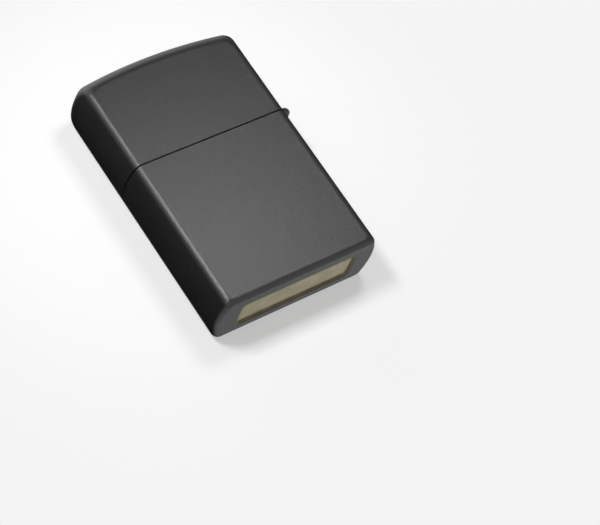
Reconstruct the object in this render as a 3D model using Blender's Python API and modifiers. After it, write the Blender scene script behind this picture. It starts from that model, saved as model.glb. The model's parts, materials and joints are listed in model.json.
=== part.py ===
"""A flip-top pocket lighter: case, hinged lid and the insert that stands in the case.

The lighter stands on its base with the lid shut. The origin is the middle of the base, +Z is up,
-Y is the front and +X is the hinge side.
"""
from collections import namedtuple
from math import acos, atan2, cos, hypot, pi, sin, sqrt

import bmesh
import bpy
from mathutils import Matrix

MM = 0.001

# Case and lid, outside
CASE_WIDTH = 37.0 * MM
CASE_DEPTH = 13.2 * MM
CASE_HEIGHT = 33.25 * MM
LID_HEIGHT = 22.45 * MM
SEAM_GAP = 0.3 * MM
WALL = 0.6 * MM
PLAN_CORNER = 2.0 * MM      # upright edges of the case
PLAN_SIDE = 14.0 * MM       # bow of the two narrow sides
CROWN_RISE = 1.6 * MM       # rise of the lid's top from its ends to its middle
LID_END_RADIUS = 2.1 * MM
LID_EDGE_RADIUS = 3.2 * MM
BASE_RADIUS = 1.3 * MM
PANEL_LENGTH = 26.5 * MM    # sunk bare panel in the base
PANEL_DEPTH = 7.4 * MM
PANEL_CORNER = 1.2 * MM
PANEL_SINK = 0.55 * MM

# Hinge
HINGE_LENGTH = 10.0 * MM
HINGE_SETBACK = 0.6 * MM    # axis inside the case's widest line
KNUCKLE_RADIUS = 0.95 * MM
KNUCKLE_GAP = 0.12 * MM
PIN_RADIUS = 0.4 * MM
PIN_CLEARANCE = 0.08 * MM
LEAF_THICKNESS = 0.4 * MM
LEAF_HEIGHT = 5.0 * MM
LEAF_CLEARANCE = 0.1 * MM
LEAF_GAP = 0.05 * MM        # from the knuckles to the near edge of a leaf
WEB_OVERLAP = 0.15 * MM     # of a web and its leaf
WEB_OFFSET = 0.3 * MM       # from the axis to the near face of a web
NOTCH_CLEARANCE = 0.15 * MM

# Insert
INSERT_CLEARANCE = 0.25 * MM
INSERT_END_CLEARANCE = 1.3 * MM
INSERT_RAISE = 0.15 * MM
TANK_WALL = 0.35 * MM
PLATE_THICKNESS = 0.5 * MM
PLATE_RAISE = 1.15 * MM     # top plate above the case's rim
FELT_THICKNESS = 3.8 * MM
SOFT_CLEARANCE = 0.15 * MM

# Wind guard and what it carries
CHIMNEY_HEADROOM = 3.4 * MM
CHIMNEY_WALL = 0.45 * MM
CHIMNEY_INSET = 1.15 * MM
HOLE_RADIUS = 1.0 * MM
HOLE_SPACING = 3.3 * MM
HOLE_ROWS = (3, 2, 3)
EAR_WALL = 0.42 * MM
EAR_CORNER = 0.3 * MM
EAR_HUB = 2.0 * MM
RIVET_RADIUS = 0.8 * MM
RIVET_CLEARANCE = 0.1 * MM
RIVET_HEAD_RADIUS = 1.35 * MM
RIVET_HEAD = 0.5 * MM
RIVET_FLAT_RADIUS = 0.81 * MM   # flat middle of a rivet's domed head

# Striker
WHEEL_RADIUS = 3.4 * MM
WHEEL_WIDTH = 4.4 * MM
WHEEL_BAND = 1.2 * MM
WHEEL_TOOTH = 0.28 * MM
WHEEL_TEETH = 26
WHEEL_CLEARANCE = 0.3 * MM
WHEEL_DROP = 5.7 * MM       # wheel's axis below the top of the wind guard
FLINT_END_DISTANCE = 8.0 * MM
TUBE_RADIUS = 2.1 * MM
TUBE_BORE = 1.55 * MM
TUBE_CLEARANCE = 0.1 * MM
FLINT_RADIUS = 1.3 * MM
FLINT_LENGTH = 5.6 * MM
FLINT_CLEARANCE = 0.1 * MM
PLUNGER_HEAD = 2.0 * MM
PLUNGER_STEM = 2.4 * MM
STEM_RADIUS = 0.65 * MM
SPRING_RADIUS = 1.1 * MM
SPRING_WIRE = 0.2 * MM
SPRING_TURNS = 12
SCREW_HEAD = 1.0 * MM
SCREW_HEAD_RADIUS = 2.4 * MM
SCREW_SHANK = 4.6 * MM
SCREW_CLEARANCE = 0.12 * MM
SLOT_WIDTH = 0.7 * MM
SLOT_DEPTH = 0.5 * MM

# Cam
CAM_END_DISTANCE = 4.8 * MM
CAM_HEIGHT = 4.0 * MM
CAM_WIDTH = 2.6 * MM
CAM_CLEARANCE = 0.25 * MM
CAM_HUB = 1.7 * MM
CAM_NOSE = 0.9 * MM
CAM_NOSE_RISE = 1.5 * MM
CAM_HEEL = 0.7 * MM
CAM_HEEL_BACK = 1.2 * MM
CAM_HEEL_RISE = 2.6 * MM
CAM_SPRING_THICKNESS = 0.25 * MM
CAM_SPRING_GAP = 0.2 * MM
CAM_SPRING_FOOT = 3.4 * MM

# Wick and packing
WICK_RADIUS = 1.25 * MM
WICK_DROP = 3.0 * MM        # wick's end below the top of the wind guard
WICK_CLEARANCE = 0.15 * MM
PACKING_LAYERS = 5
PACKING_EDGE = 0.5 * MM

# Worked out from the sizes above
SEAM_HEIGHT = CASE_HEIGHT + SEAM_GAP / 2
LID_RIM = SEAM_HEIGHT + SEAM_GAP / 2
TOP_HEIGHT = LID_RIM + LID_HEIGHT
HINGE_X = CASE_WIDTH / 2 - HINGE_SETBACK
HINGE_AXIS = (HINGE_X, 0.0, SEAM_HEIGHT)
LEAF_DROP = KNUCKLE_RADIUS + LEAF_GAP
NOTCH_REACH = LEAF_DROP + WEB_OVERLAP + NOTCH_CLEARANCE
FLOOR_HEIGHT = PANEL_SINK + WALL
INSERT_BOTTOM = FLOOR_HEIGHT + INSERT_RAISE
PLATE_TOP = CASE_HEIGHT + PLATE_RAISE
PLATE_BOTTOM = PLATE_TOP - PLATE_THICKNESS
CHIMNEY_TOP = TOP_HEIGHT - WALL - CHIMNEY_HEADROOM
INSERT_HALF_WIDTH = CASE_WIDTH / 2 - WALL - INSERT_END_CLEARANCE
INSERT_HALF_DEPTH = CASE_DEPTH / 2 - WALL - INSERT_CLEARANCE
CHIMNEY_RADIUS = INSERT_HALF_DEPTH - CHIMNEY_INSET
CAM_X = INSERT_HALF_WIDTH - CAM_END_DISTANCE
CAM_Z = PLATE_TOP + CAM_HEIGHT
CAM_EAR = CAM_WIDTH / 2 + CAM_CLEARANCE
FLINT_X = FLINT_END_DISTANCE - INSERT_HALF_WIDTH
WHEEL_Z = CHIMNEY_TOP - WHEEL_DROP
WHEEL_EAR = WHEEL_WIDTH / 2 + WHEEL_CLEARANCE
CHIMNEY_RIGHT = CAM_X - EAR_HUB - 3 * EAR_WALL
CHIMNEY_LEFT = FLINT_X + TUBE_RADIUS + 2 * WHEEL_CLEARANCE
WICK_X = (CHIMNEY_LEFT + CHIMNEY_RIGHT) / 2
WHEEL_SLOT_REACH = CHIMNEY_RADIUS / 2
CAM_SLOT_REACH = CHIMNEY_RADIUS / 3
EAR_FOOT_DROP = 2 * EAR_HUB / 3
FLINT_TOP = WHEEL_Z - WHEEL_RADIUS - FLINT_CLEARANCE
TUBE_TOP = FLINT_TOP - 2 * FLINT_CLEARANCE
PLUNGER_TOP = FLINT_TOP - FLINT_LENGTH - FLINT_CLEARANCE
SPRING_TOP = PLUNGER_TOP - PLUNGER_HEAD - SPRING_WIRE - FLINT_CLEARANCE
SCREW_BOTTOM = INSERT_BOTTOM + SOFT_CLEARANCE
TUBE_BOTTOM = SCREW_BOTTOM + SCREW_HEAD + SCREW_CLEARANCE
SPRING_BOTTOM = SCREW_BOTTOM + SCREW_HEAD + SCREW_SHANK + SPRING_WIRE + FLINT_CLEARANCE
FELT_TOP = SCREW_BOTTOM + FELT_THICKNESS

Section = namedtuple("Section", "width depth corner side")
OUTSIDE = Section(CASE_WIDTH, CASE_DEPTH, PLAN_CORNER, PLAN_SIDE)

ROW_SPACING = 0.1 * MM      # least distance between two rows of a loft
CORNER_SWEEP = 0.8          # share of an upright edge's arc that a loft's rows follow
COARSE = 24


def inset(section, ends, faces):
    """The section with its narrow sides moved in by ends and its broad faces by faces."""
    return Section(section.width - 2 * ends, section.depth - 2 * faces,
                   section.corner - faces, section.side - ends)


INSERT = inset(OUTSIDE, WALL + INSERT_END_CLEARANCE, WALL + INSERT_CLEARANCE)
TANK_INSIDE = inset(INSERT, TANK_WALL, TANK_WALL)


def half_width(section, y):
    """Half of the section's width at a distance y from its long middle line."""
    corner_y = section.depth / 2 - section.corner
    reach = section.side - section.corner
    rise = sqrt(reach * reach - corner_y * corner_y)
    centre = section.width / 2 - section.side
    if abs(y) < corner_y * section.side / reach:
        return centre + sqrt(section.side ** 2 - y * y)
    return centre + rise + sqrt(max(section.corner ** 2 - (abs(y) - corner_y) ** 2, 0.0))


def section_rows(section, edge):
    """Distances from the middle line, front to back, close together where the form turns."""
    half = section.depth / 2
    inward = [half]
    for turn in quarter(4):
        inward.append(section.corner * (1 - cos(turn * CORNER_SWEEP)))
        inward.append(edge * (1 - sin(turn)))
    bowed = max(section.corner, edge)
    inward += [bowed + (half - bowed) * part / 3 for part in (1, 2)]
    kept = [0.0]
    for distance in sorted(inward):
        if distance - kept[-1] > ROW_SPACING:
            kept.append(distance)
    rows = [half - distance for distance in kept]
    return [-y for y in rows] + rows[-2::-1]


def arch(width, top, end_radius, crown_radius):
    """Half of an arched end, from its upright side to the middle of its top, as (x, z)."""
    points = []
    centre_x = width - end_radius
    if crown_radius:
        crown_z = top - crown_radius
        centre_z = crown_z + sqrt((crown_radius - end_radius) ** 2 - centre_x ** 2)
        lean = atan2(centre_x, centre_z - crown_z)
    else:
        centre_z = top - end_radius
        lean = 0.0
    for step in range(6):
        angle = step / 5 * (pi / 2 - lean)
        points.append((centre_x + end_radius * cos(angle), centre_z + end_radius * sin(angle)))
    if crown_radius:
        for step in range(1, 5):
            angle = lean * (1 - step / 4)
            points.append((crown_radius * sin(angle), crown_z + crown_radius * cos(angle)))
    return points


def cup(name, section, rim, end, edge_radius, end_radius, crown_radius=0.0, origin=(0, 0, 0)):
    """A cup with rounded edges, lofted front to back and open at its rim."""
    height = abs(end - rim)
    upward = 1 if end > rim else -1
    rows = section_rows(section, edge_radius)
    verts = []
    for y in rows:
        bend = max(abs(y) - (section.depth / 2 - edge_radius), 0.0)
        top = height - edge_radius + sqrt(edge_radius ** 2 - bend ** 2)
        side = arch(half_width(section, y), top, end_radius, crown_radius)
        half = [(side[0][0], 0.0)] + side
        mirrored = [(-x, z) for x, z in reversed(half) if x > 1e-9]
        for x, z in half + mirrored:
            verts.append((x - origin[0], y - origin[1], rim + upward * z - origin[2]))
    count = len(verts) // len(rows)
    faces = [tuple(range(count)), tuple(range(len(verts) - 1, len(verts) - 1 - count, -1))]
    for row in range(len(rows) - 1):
        for i in range(count - 1):
            a = row * count + i
            faces.append((a, a + count, a + count + 1, a + 1))
    if upward < 0:
        faces = [tuple(reversed(face)) for face in faces]
    obj = add_mesh(name, verts, faces)
    obj.location = origin
    solidify = obj.modifiers.new("wall", "SOLIDIFY")
    solidify.thickness = WALL
    solidify.offset = -1
    solidify.use_even_offset = True
    return obj


def add_mesh(name, verts, faces):
    mesh = bpy.data.meshes.new(name)
    mesh.from_pydata(verts, [], faces)
    mesh.update()
    obj = bpy.data.objects.new(name, mesh)
    parts.objects.link(obj)
    return obj


def quarter(steps=5):
    """Angles that divide a right angle."""
    return [pi / 2 * i / steps for i in range(steps + 1)]


def circle(x, y, radius, steps=COARSE):
    return [(x + radius * cos(2 * pi * i / steps), y + radius * sin(2 * pi * i / steps))
            for i in range(steps)]


def belt(circles, steps=6):
    """The outline pulled tight round circles (x, y, radius) that are listed anticlockwise."""
    count = len(circles)
    normals = []
    for i in range(count):
        x0, y0, r0 = circles[i]
        x1, y1, r1 = circles[(i + 1) % count]
        span = hypot(x1 - x0, y1 - y0)
        normals.append(atan2(y1 - y0, x1 - x0) - acos((r0 - r1) / span))
    points = []
    for i in range(count):
        x, y, radius = circles[i]
        start = normals[i - 1]
        turn = (normals[i] - start) % (2 * pi)
        for step in range(steps + 1):
            angle = start + turn * step / steps
            points.append((x + radius * cos(angle), y + radius * sin(angle)))
    return points


def rounded_box(left, right, low, high, radius):
    """The outline of a rectangle with round corners."""
    return belt([(left + radius, low + radius, radius), (right - radius, low + radius, radius),
                 (right - radius, high - radius, radius), (left + radius, high - radius, radius)])


def plan(section, steps=5):
    """The outline of a plan section, anticlockwise."""
    half = section.depth / 2
    corner_y = half - section.corner
    join = corner_y * section.side / (section.side - section.corner)
    ys = [join * i / steps for i in range(steps)]
    ys += [join + (half - join) * sin(pi / 2 * i / steps) for i in range(steps + 1)]
    side = [(half_width(section, y), y) for y in ys]
    back = [(-x, y) for x, y in reversed(side)]
    front = [(-x, -y) for x, y in side[1:]]
    return side + back + front + [(x, -y) for x, y in reversed(side[1:])]


def extruded(name, outlines, thickness, location, upright=False, edge=0.0, collection=None):
    """A flat piece from its outline and the outlines of its holes, as a mesh.

    It lies in XY, or stands in XZ when upright, with its middle plane at location.
    """
    curve = bpy.data.curves.new(name, "CURVE")
    curve.dimensions = "2D"
    curve.fill_mode = "BOTH"
    curve.extrude = thickness / 2
    for outline in outlines:
        spline = curve.splines.new("POLY")
        spline.points.add(len(outline) - 1)
        for point, (x, y) in zip(spline.points, outline):
            point.co = (x, y, 0, 1)
        spline.use_cyclic_u = True
    drawn = bpy.data.objects.new(name + "_outline", curve)
    drawn.location = location
    drawn.rotation_euler = (pi / 2 if upright else 0.0, 0.0, 0.0)
    obj = as_mesh(drawn, name, collection or parts)
    if edge:
        bevel = obj.modifiers.new("edge", "BEVEL")
        bevel.width = edge
        bevel.segments = 2
        bevel.limit_method = "ANGLE"
        bevel.angle_limit = pi / 3
    return obj


def as_mesh(drawn, name, collection):
    """The mesh of a curve object, with its caps welded, in place of the curve."""
    parts.objects.link(drawn)
    evaluated = drawn.evaluated_get(bpy.context.evaluated_depsgraph_get())
    mesh = bpy.data.meshes.new_from_object(evaluated)
    welded = bmesh.new()
    welded.from_mesh(mesh)
    bmesh.ops.remove_doubles(welded, verts=welded.verts, dist=1e-7)
    bmesh.ops.recalc_face_normals(welded, faces=welded.faces)
    welded.to_mesh(mesh)
    welded.free()
    mesh.name = name
    obj = bpy.data.objects.new(name, mesh)
    collection.objects.link(obj)
    obj.matrix_world = drawn.evaluated_get(bpy.context.evaluated_depsgraph_get()).matrix_world
    curve = drawn.data
    bpy.data.objects.remove(drawn)
    bpy.data.curves.remove(curve)
    return obj


def adopt(obj, name, collection):
    """Names a new primitive and moves it to its collection."""
    for home in list(obj.users_collection):
        home.objects.unlink(obj)
    collection.objects.link(obj)
    obj.name = name
    obj.data.name = name
    return obj


def bar(name, radius, length, location, along_y=True, steps=COARSE, collection=None):
    """A round bar along Y, or along Z."""
    bpy.ops.mesh.primitive_cylinder_add(vertices=steps, radius=radius, depth=length,
                                        location=location,
                                        rotation=(pi / 2 if along_y else 0.0, 0.0, 0.0))
    return adopt(bpy.context.object, name, collection or parts)


def box(name, low, high, collection=None):
    """A block between two opposite corners."""
    size = [b - a for a, b in zip(low, high)]
    middle = [(a + b) / 2 for a, b in zip(low, high)]
    bpy.ops.mesh.primitive_cube_add(size=1, location=middle)
    obj = adopt(bpy.context.object, name, collection or parts)
    obj.scale = size
    bpy.ops.object.transform_apply(location=False, rotation=False, scale=True)
    return obj


def turned(name, profile, location, along_y=False, steps=COARSE):
    """A turned piece from its profile of (radius, height), listed top to bottom."""
    mesh = bpy.data.meshes.new(name)
    edges = [(i, i + 1) for i in range(len(profile) - 1)]
    mesh.from_pydata([(radius, 0, height) for radius, height in profile], edges, [])
    obj = bpy.data.objects.new(name, mesh)
    parts.objects.link(obj)
    obj.location = location
    obj.rotation_euler = (pi / 2 if along_y else 0.0, 0.0, 0.0)
    screw = obj.modifiers.new("turning", "SCREW")
    screw.steps = steps
    screw.render_steps = steps
    screw.use_merge_vertices = True
    screw.merge_threshold = 1e-7
    return obj


def combine(target, operation, tool):
    """A Boolean of the target with a tool, which is left out of the model."""
    modifier = target.modifiers.new(tool.name, "BOOLEAN")
    modifier.operation = operation
    modifier.solver = "EXACT"
    modifier.object = tool
    tool.hide_render = True
    tool.display_type = "WIRE"


def cut(target, tool):
    combine(target, "DIFFERENCE", tool)


def join(target, tool):
    combine(target, "UNION", tool)


def finish(obj, colour, roughness, metallic=0.0, rounded=False):
    """Gives a piece its own material, and smooth shading where it is round."""
    material = bpy.data.materials.new(obj.name)
    material.use_nodes = True
    shader = material.node_tree.nodes["Principled BSDF"]
    shader.inputs["Base Color"].default_value = (*colour, 1.0)
    shader.inputs["Roughness"].default_value = roughness
    shader.inputs["Metallic"].default_value = metallic
    obj.data.materials.clear()
    obj.data.materials.append(material)
    if rounded:
        obj.data.shade_smooth()
        obj.data.set_sharp_from_angle(angle=pi / 6)


BLACK_COAT = (0.032, 0.032, 0.033)
STEEL = (0.56, 0.56, 0.55)
DARK_STEEL = (0.30, 0.30, 0.31)
BRASS = (0.60, 0.45, 0.22)
COTTON = (0.80, 0.78, 0.72)
FELT = (0.62, 0.60, 0.55)


def hinge_notch(name, low, high):
    """The opening in a shell for the knuckles and their webs."""
    reach = HINGE_LENGTH / 2 + NOTCH_CLEARANCE
    inner = HINGE_X - KNUCKLE_RADIUS - WALL - NOTCH_CLEARANCE
    return box(name, (inner, -reach, low), (HINGE_X + 2 * KNUCKLE_RADIUS, reach, high), cutters)


def case_shell():
    shell = cup("case_shell", OUTSIDE, CASE_HEIGHT, 0.0, BASE_RADIUS, BASE_RADIUS)
    length = PANEL_LENGTH / 2
    depth = PANEL_DEPTH / 2
    pan = rounded_box(-length - WALL, length + WALL, -depth - WALL, depth + WALL,
                      PANEL_CORNER + WALL)
    join(shell, extruded("case_pan", [pan], FLOOR_HEIGHT - WALL / 2,
                         (0, 0, (FLOOR_HEIGHT + WALL / 2) / 2), collection=cutters))
    panel = rounded_box(-length, length, -depth, depth, PANEL_CORNER)
    cut(shell, extruded("case_panel", [panel], 2 * PANEL_SINK, (0, 0, 0), collection=cutters))
    cut(shell, hinge_notch("case_notch", SEAM_HEIGHT - NOTCH_REACH, SEAM_HEIGHT + WALL))
    finish(shell, BLACK_COAT, 0.5, rounded=True)


def lid_shell():
    chord = CASE_WIDTH / 2
    crown_radius = (chord ** 2 + CROWN_RISE ** 2) / (2 * CROWN_RISE)
    shell = cup("lid_shell", OUTSIDE, LID_RIM, TOP_HEIGHT, LID_EDGE_RADIUS, LID_END_RADIUS,
                crown_radius, HINGE_AXIS)
    cut(shell, hinge_notch("lid_notch", SEAM_HEIGHT - WALL, SEAM_HEIGHT + NOTCH_REACH))
    finish(shell, BLACK_COAT, 0.5, rounded=True)


def knuckle_spans():
    """The five knuckles along Y, front to back, as (low, high)."""
    width = (HINGE_LENGTH - 4 * KNUCKLE_GAP) / 5
    starts = [-HINGE_LENGTH / 2 + i * (width + KNUCKLE_GAP) for i in range(5)]
    return [(start, start + width) for start in starts]


def hinge_leaf(name, spans, upward):
    """A bowed plate inside the wall, with the knuckles that pass through the notch."""
    outer = PLAN_SIDE - WALL - LEAF_CLEARANCE
    centre = CASE_WIDTH / 2 - PLAN_SIDE
    half = HINGE_LENGTH / 2
    ys = [half * i / 6 for i in range(-6, 7)]
    outline = [(centre + sqrt(outer ** 2 - y * y), y) for y in ys]
    inner = outer - LEAF_THICKNESS
    outline += [(centre + sqrt(inner ** 2 - y * y), y) for y in reversed(ys)]
    outline = [(x - HINGE_X, y) for x, y in outline]
    leaf = extruded(name, [outline], LEAF_HEIGHT, HINGE_AXIS)
    leaf.data.transform(Matrix.Translation((0, 0, upward * (LEAF_DROP + LEAF_HEIGHT / 2))))
    near = SEAM_HEIGHT + upward * WEB_OFFSET
    far = SEAM_HEIGHT + upward * (LEAF_DROP + WEB_OVERLAP)
    for number, (low, high) in enumerate(spans, 1):
        middle = (low + high) / 2
        root = centre + sqrt(inner ** 2 - middle ** 2) - LEAF_CLEARANCE / 2
        web = box(f"{name}_web_{number}", (root, low, min(near, far)), (HINGE_X, high, max(near, far)),
                  cutters)
        join(leaf, web)
        join(leaf, bar(f"{name}_knuckle_{number}", KNUCKLE_RADIUS, high - low,
                       (HINGE_X, middle, SEAM_HEIGHT), collection=cutters))
    cut(leaf, bar(f"{name}_bore", PIN_RADIUS + PIN_CLEARANCE, 2 * HINGE_LENGTH, HINGE_AXIS,
                  steps=16, collection=cutters))
    finish(leaf, BLACK_COAT, 0.5, rounded=True)


def hinge():
    spans = knuckle_spans()
    hinge_leaf("case_hinge_leaf", spans[0::2], -1)
    hinge_leaf("lid_hinge_leaf", spans[1::2], 1)
    pin = bar("hinge_pin", PIN_RADIUS, HINGE_LENGTH, HINGE_AXIS, steps=16)
    finish(pin, DARK_STEEL, 0.4, 1.0, rounded=True)


def insert_tank():
    height = PLATE_BOTTOM - INSERT_BOTTOM
    tank = extruded("insert_tank", [plan(INSERT), plan(TANK_INSIDE)], height,
                    (0, 0, INSERT_BOTTOM + height / 2))
    finish(tank, STEEL, 0.3, 1.0, rounded=True)


def capsule(left, right, radius, steps):
    return belt([(left + radius, 0, radius), (right - radius, 0, radius)], steps)


def guard_tube():
    """The wind guard's wall, slotted for the wheel and the cam and pierced on both faces."""
    low = PLATE_BOTTOM + PLATE_THICKNESS / 2
    outer = capsule(CHIMNEY_LEFT, CHIMNEY_RIGHT, CHIMNEY_RADIUS, 12)
    inner = capsule(CHIMNEY_LEFT + CHIMNEY_WALL, CHIMNEY_RIGHT - CHIMNEY_WALL,
                    CHIMNEY_RADIUS - CHIMNEY_WALL, 12)
    tube = extruded("guard_tube", [outer, inner], CHIMNEY_TOP - low,
                    (0, 0, (CHIMNEY_TOP + low) / 2), collection=cutters)
    slot_low = FLINT_TOP - WHEEL_CLEARANCE
    cut(tube, box("wheel_slot", (CHIMNEY_LEFT - WALL, -WHEEL_EAR, slot_low),
                  (CHIMNEY_LEFT + WHEEL_SLOT_REACH, WHEEL_EAR, CHIMNEY_TOP + WALL), cutters))
    cut(tube, box("cam_slot", (CHIMNEY_RIGHT - CAM_SLOT_REACH, -CAM_EAR, low - WALL),
                  (CHIMNEY_RIGHT + WALL, CAM_EAR, CAM_Z + CAM_HEEL_RISE + CAM_HUB), cutters))
    middle = (PLATE_TOP + CHIMNEY_TOP) / 2
    for row, count in enumerate(HOLE_ROWS):
        z = middle + (row - (len(HOLE_ROWS) - 1) / 2) * HOLE_SPACING
        for column in range(count):
            x = WICK_X + (column - (count - 1) / 2) * HOLE_SPACING
            cut(tube, bar(f"guard_hole_{row}_{column}", HOLE_RADIUS, 4 * CHIMNEY_RADIUS, (x, 0, z),
                          steps=14, collection=cutters))
    return tube


def wall_x(centre, outward, y):
    """Where the middle of the wind guard's round end lies at a distance y from its middle."""
    radius = CHIMNEY_RADIUS - CHIMNEY_WALL / 2
    return centre + outward * sqrt(radius ** 2 - y ** 2)


def ear(name, circles, inner_y, hole, side):
    """One of the two ears that carry a rivet, standing off the wind guard's end."""
    middle = side * (inner_y + EAR_WALL / 2)
    return extruded(name, [belt(circles), circle(*hole, RIVET_RADIUS + RIVET_CLEARANCE, 16)],
                    EAR_WALL, (0, middle, 0), upright=True, collection=cutters)


def chimney():
    plate_holes = [circle(WICK_X, 0, WICK_RADIUS + WICK_CLEARANCE),
                   circle(FLINT_X, 0, TUBE_RADIUS + TUBE_CLEARANCE),
                   circle(cam_spring_rivet_x(), 0, RIVET_RADIUS / 2 + RIVET_CLEARANCE, 12)]
    plate = extruded("chimney", [plan(INSERT), *plate_holes], PLATE_THICKNESS,
                     (0, 0, (PLATE_TOP + PLATE_BOTTOM) / 2))
    join(plate, guard_tube())
    root = PLATE_BOTTOM + PLATE_THICKNESS / 2 + EAR_CORNER
    wheel_root = wall_x(CHIMNEY_LEFT + CHIMNEY_RADIUS, -1, WHEEL_EAR + EAR_WALL / 2) - EAR_CORNER
    wheel_circles = [(FLINT_X, WHEEL_Z, EAR_HUB),
                     (wheel_root, WHEEL_Z - WHEEL_RADIUS - EAR_FOOT_DROP, EAR_CORNER),
                     (wheel_root, CHIMNEY_TOP - 2 * EAR_CORNER, EAR_CORNER)]
    cam_root = wall_x(CHIMNEY_RIGHT - CHIMNEY_RADIUS, 1, CAM_EAR + EAR_WALL / 2) + EAR_CORNER
    cam_circles = [(cam_root, root, EAR_CORNER), (CAM_X + EAR_HUB - EAR_CORNER, root, EAR_CORNER),
                   (CAM_X, CAM_Z, EAR_HUB), (cam_root, CAM_Z + EAR_HUB, EAR_CORNER)]
    for side, label in ((-1, "front"), (1, "back")):
        join(plate, ear(f"wheel_ear_{label}", wheel_circles, WHEEL_EAR, (FLINT_X, WHEEL_Z), side))
        join(plate, ear(f"cam_ear_{label}", cam_circles, CAM_EAR, (CAM_X, CAM_Z), side))
    finish(plate, STEEL, 0.3, 1.0, rounded=True)


def rivet(name, x, z, inner_y):
    """A rivet along Y through two ears, with a head outside each."""
    face = inner_y + EAR_WALL + RIVET_CLEARANCE / 2
    end = face + RIVET_HEAD
    profile = [(0, end), (RIVET_FLAT_RADIUS, end), (RIVET_HEAD_RADIUS, face + RIVET_HEAD / 3),
               (RIVET_HEAD_RADIUS, face), (RIVET_RADIUS, face)]
    profile += [(radius, -height) for radius, height in reversed(profile)]
    finish(turned(name, profile, (x, 0, z), along_y=True), DARK_STEEL, 0.35, 1.0, rounded=True)


def toothed(radius, teeth):
    """A circle of radius with pointed teeth cut into it."""
    points = []
    for i in range(2 * teeth):
        angle = pi * i / teeth
        r = radius - (i % 2) * WHEEL_TOOTH
        points.append((r * cos(angle), r * sin(angle)))
    return points


def striker_wheel():
    axis = (FLINT_X, 0, WHEEL_Z)
    bore = circle(0, 0, RIVET_RADIUS + RIVET_CLEARANCE, 16)
    wheel = extruded("striker_wheel", [toothed(WHEEL_RADIUS - WHEEL_TOOTH / 2, WHEEL_TEETH + 8), bore],
                     WHEEL_WIDTH, axis, upright=True)
    for side, label in ((-1, "front"), (1, "back")):
        middle = side * (WHEEL_WIDTH - WHEEL_BAND) / 2
        band = extruded(f"wheel_band_{label}", [toothed(WHEEL_RADIUS, WHEEL_TEETH), bore], WHEEL_BAND,
                        (FLINT_X, middle, WHEEL_Z), upright=True, collection=cutters)
        join(wheel, band)
    finish(wheel, DARK_STEEL, 0.45, 1.0)


def flint_parts():
    height = TUBE_TOP - TUBE_BOTTOM
    tube = extruded("flint_tube", [circle(0, 0, TUBE_RADIUS), circle(0, 0, TUBE_BORE)], height,
                    (FLINT_X, 0, TUBE_BOTTOM + height / 2))
    finish(tube, BRASS, 0.35, 1.0, rounded=True)
    flint = bar("flint", FLINT_RADIUS, FLINT_LENGTH, (FLINT_X, 0, FLINT_TOP - FLINT_LENGTH / 2),
                along_y=False, steps=16)
    finish(flint, DARK_STEEL, 0.6, 0.6, rounded=True)
    plunger = turned("flint_plunger", [(0, 0), (FLINT_RADIUS, 0), (FLINT_RADIUS, -PLUNGER_HEAD),
                                       (STEM_RADIUS, -PLUNGER_HEAD),
                                       (STEM_RADIUS, -PLUNGER_HEAD - PLUNGER_STEM),
                                       (0, -PLUNGER_HEAD - PLUNGER_STEM)],
                     (FLINT_X, 0, PLUNGER_TOP), steps=16)
    finish(plunger, BRASS, 0.35, 1.0, rounded=True)


def flint_spring():
    curve = bpy.data.curves.new("flint_spring", "CURVE")
    curve.dimensions = "3D"
    curve.bevel_depth = SPRING_WIRE
    curve.bevel_resolution = 2
    curve.use_fill_caps = True
    around = 8
    count = SPRING_TURNS * around
    spline = curve.splines.new("POLY")
    spline.points.add(count)
    for i, point in enumerate(spline.points):
        angle = 2 * pi * i / around
        height = (SPRING_TOP - SPRING_BOTTOM) * i / count
        point.co = (SPRING_RADIUS * cos(angle), SPRING_RADIUS * sin(angle), height, 1)
    drawn = bpy.data.objects.new("flint_spring_wire", curve)
    drawn.location = (FLINT_X, 0, SPRING_BOTTOM)
    spring = as_mesh(drawn, "flint_spring", parts)
    finish(spring, DARK_STEEL, 0.35, 1.0, rounded=True)


def flint_screw():
    shank = TUBE_BORE - SCREW_CLEARANCE
    top = SCREW_HEAD + SCREW_SHANK
    screw = turned("flint_screw", [(0, top + PLUNGER_STEM), (STEM_RADIUS, top + PLUNGER_STEM),
                                   (STEM_RADIUS, top), (shank, top), (shank, SCREW_HEAD),
                                   (SCREW_HEAD_RADIUS, SCREW_HEAD), (SCREW_HEAD_RADIUS, 0), (0, 0)],
                   (FLINT_X, 0, SCREW_BOTTOM))
    reach = 2 * SCREW_HEAD_RADIUS
    cut(screw, box("screw_slot", (FLINT_X - reach, -SLOT_WIDTH / 2, SCREW_BOTTOM - SLOT_DEPTH),
                   (FLINT_X + reach, SLOT_WIDTH / 2, SCREW_BOTTOM + SLOT_DEPTH), cutters))
    finish(screw, BRASS, 0.35, 1.0, rounded=True)


def cam():
    nose_x = CASE_WIDTH / 2 - WALL - LEAF_CLEARANCE - LEAF_THICKNESS - CAM_CLEARANCE - CAM_NOSE
    circles = [(0, 0, CAM_HUB), (nose_x - CAM_X, CAM_NOSE_RISE, CAM_NOSE),
               (-CAM_HEEL_BACK, CAM_HEEL_RISE, CAM_HEEL)]
    lever = extruded("cam", [belt(circles, 8), circle(0, 0, RIVET_RADIUS + RIVET_CLEARANCE, 16)],
                     CAM_WIDTH, (CAM_X, 0, CAM_Z), upright=True)
    finish(lever, STEEL, 0.3, 1.0, rounded=True)


def cam_spring_rivet_x():
    return CHIMNEY_RIGHT - CHIMNEY_WALL - CAM_SPRING_FOOT / 2


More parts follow.
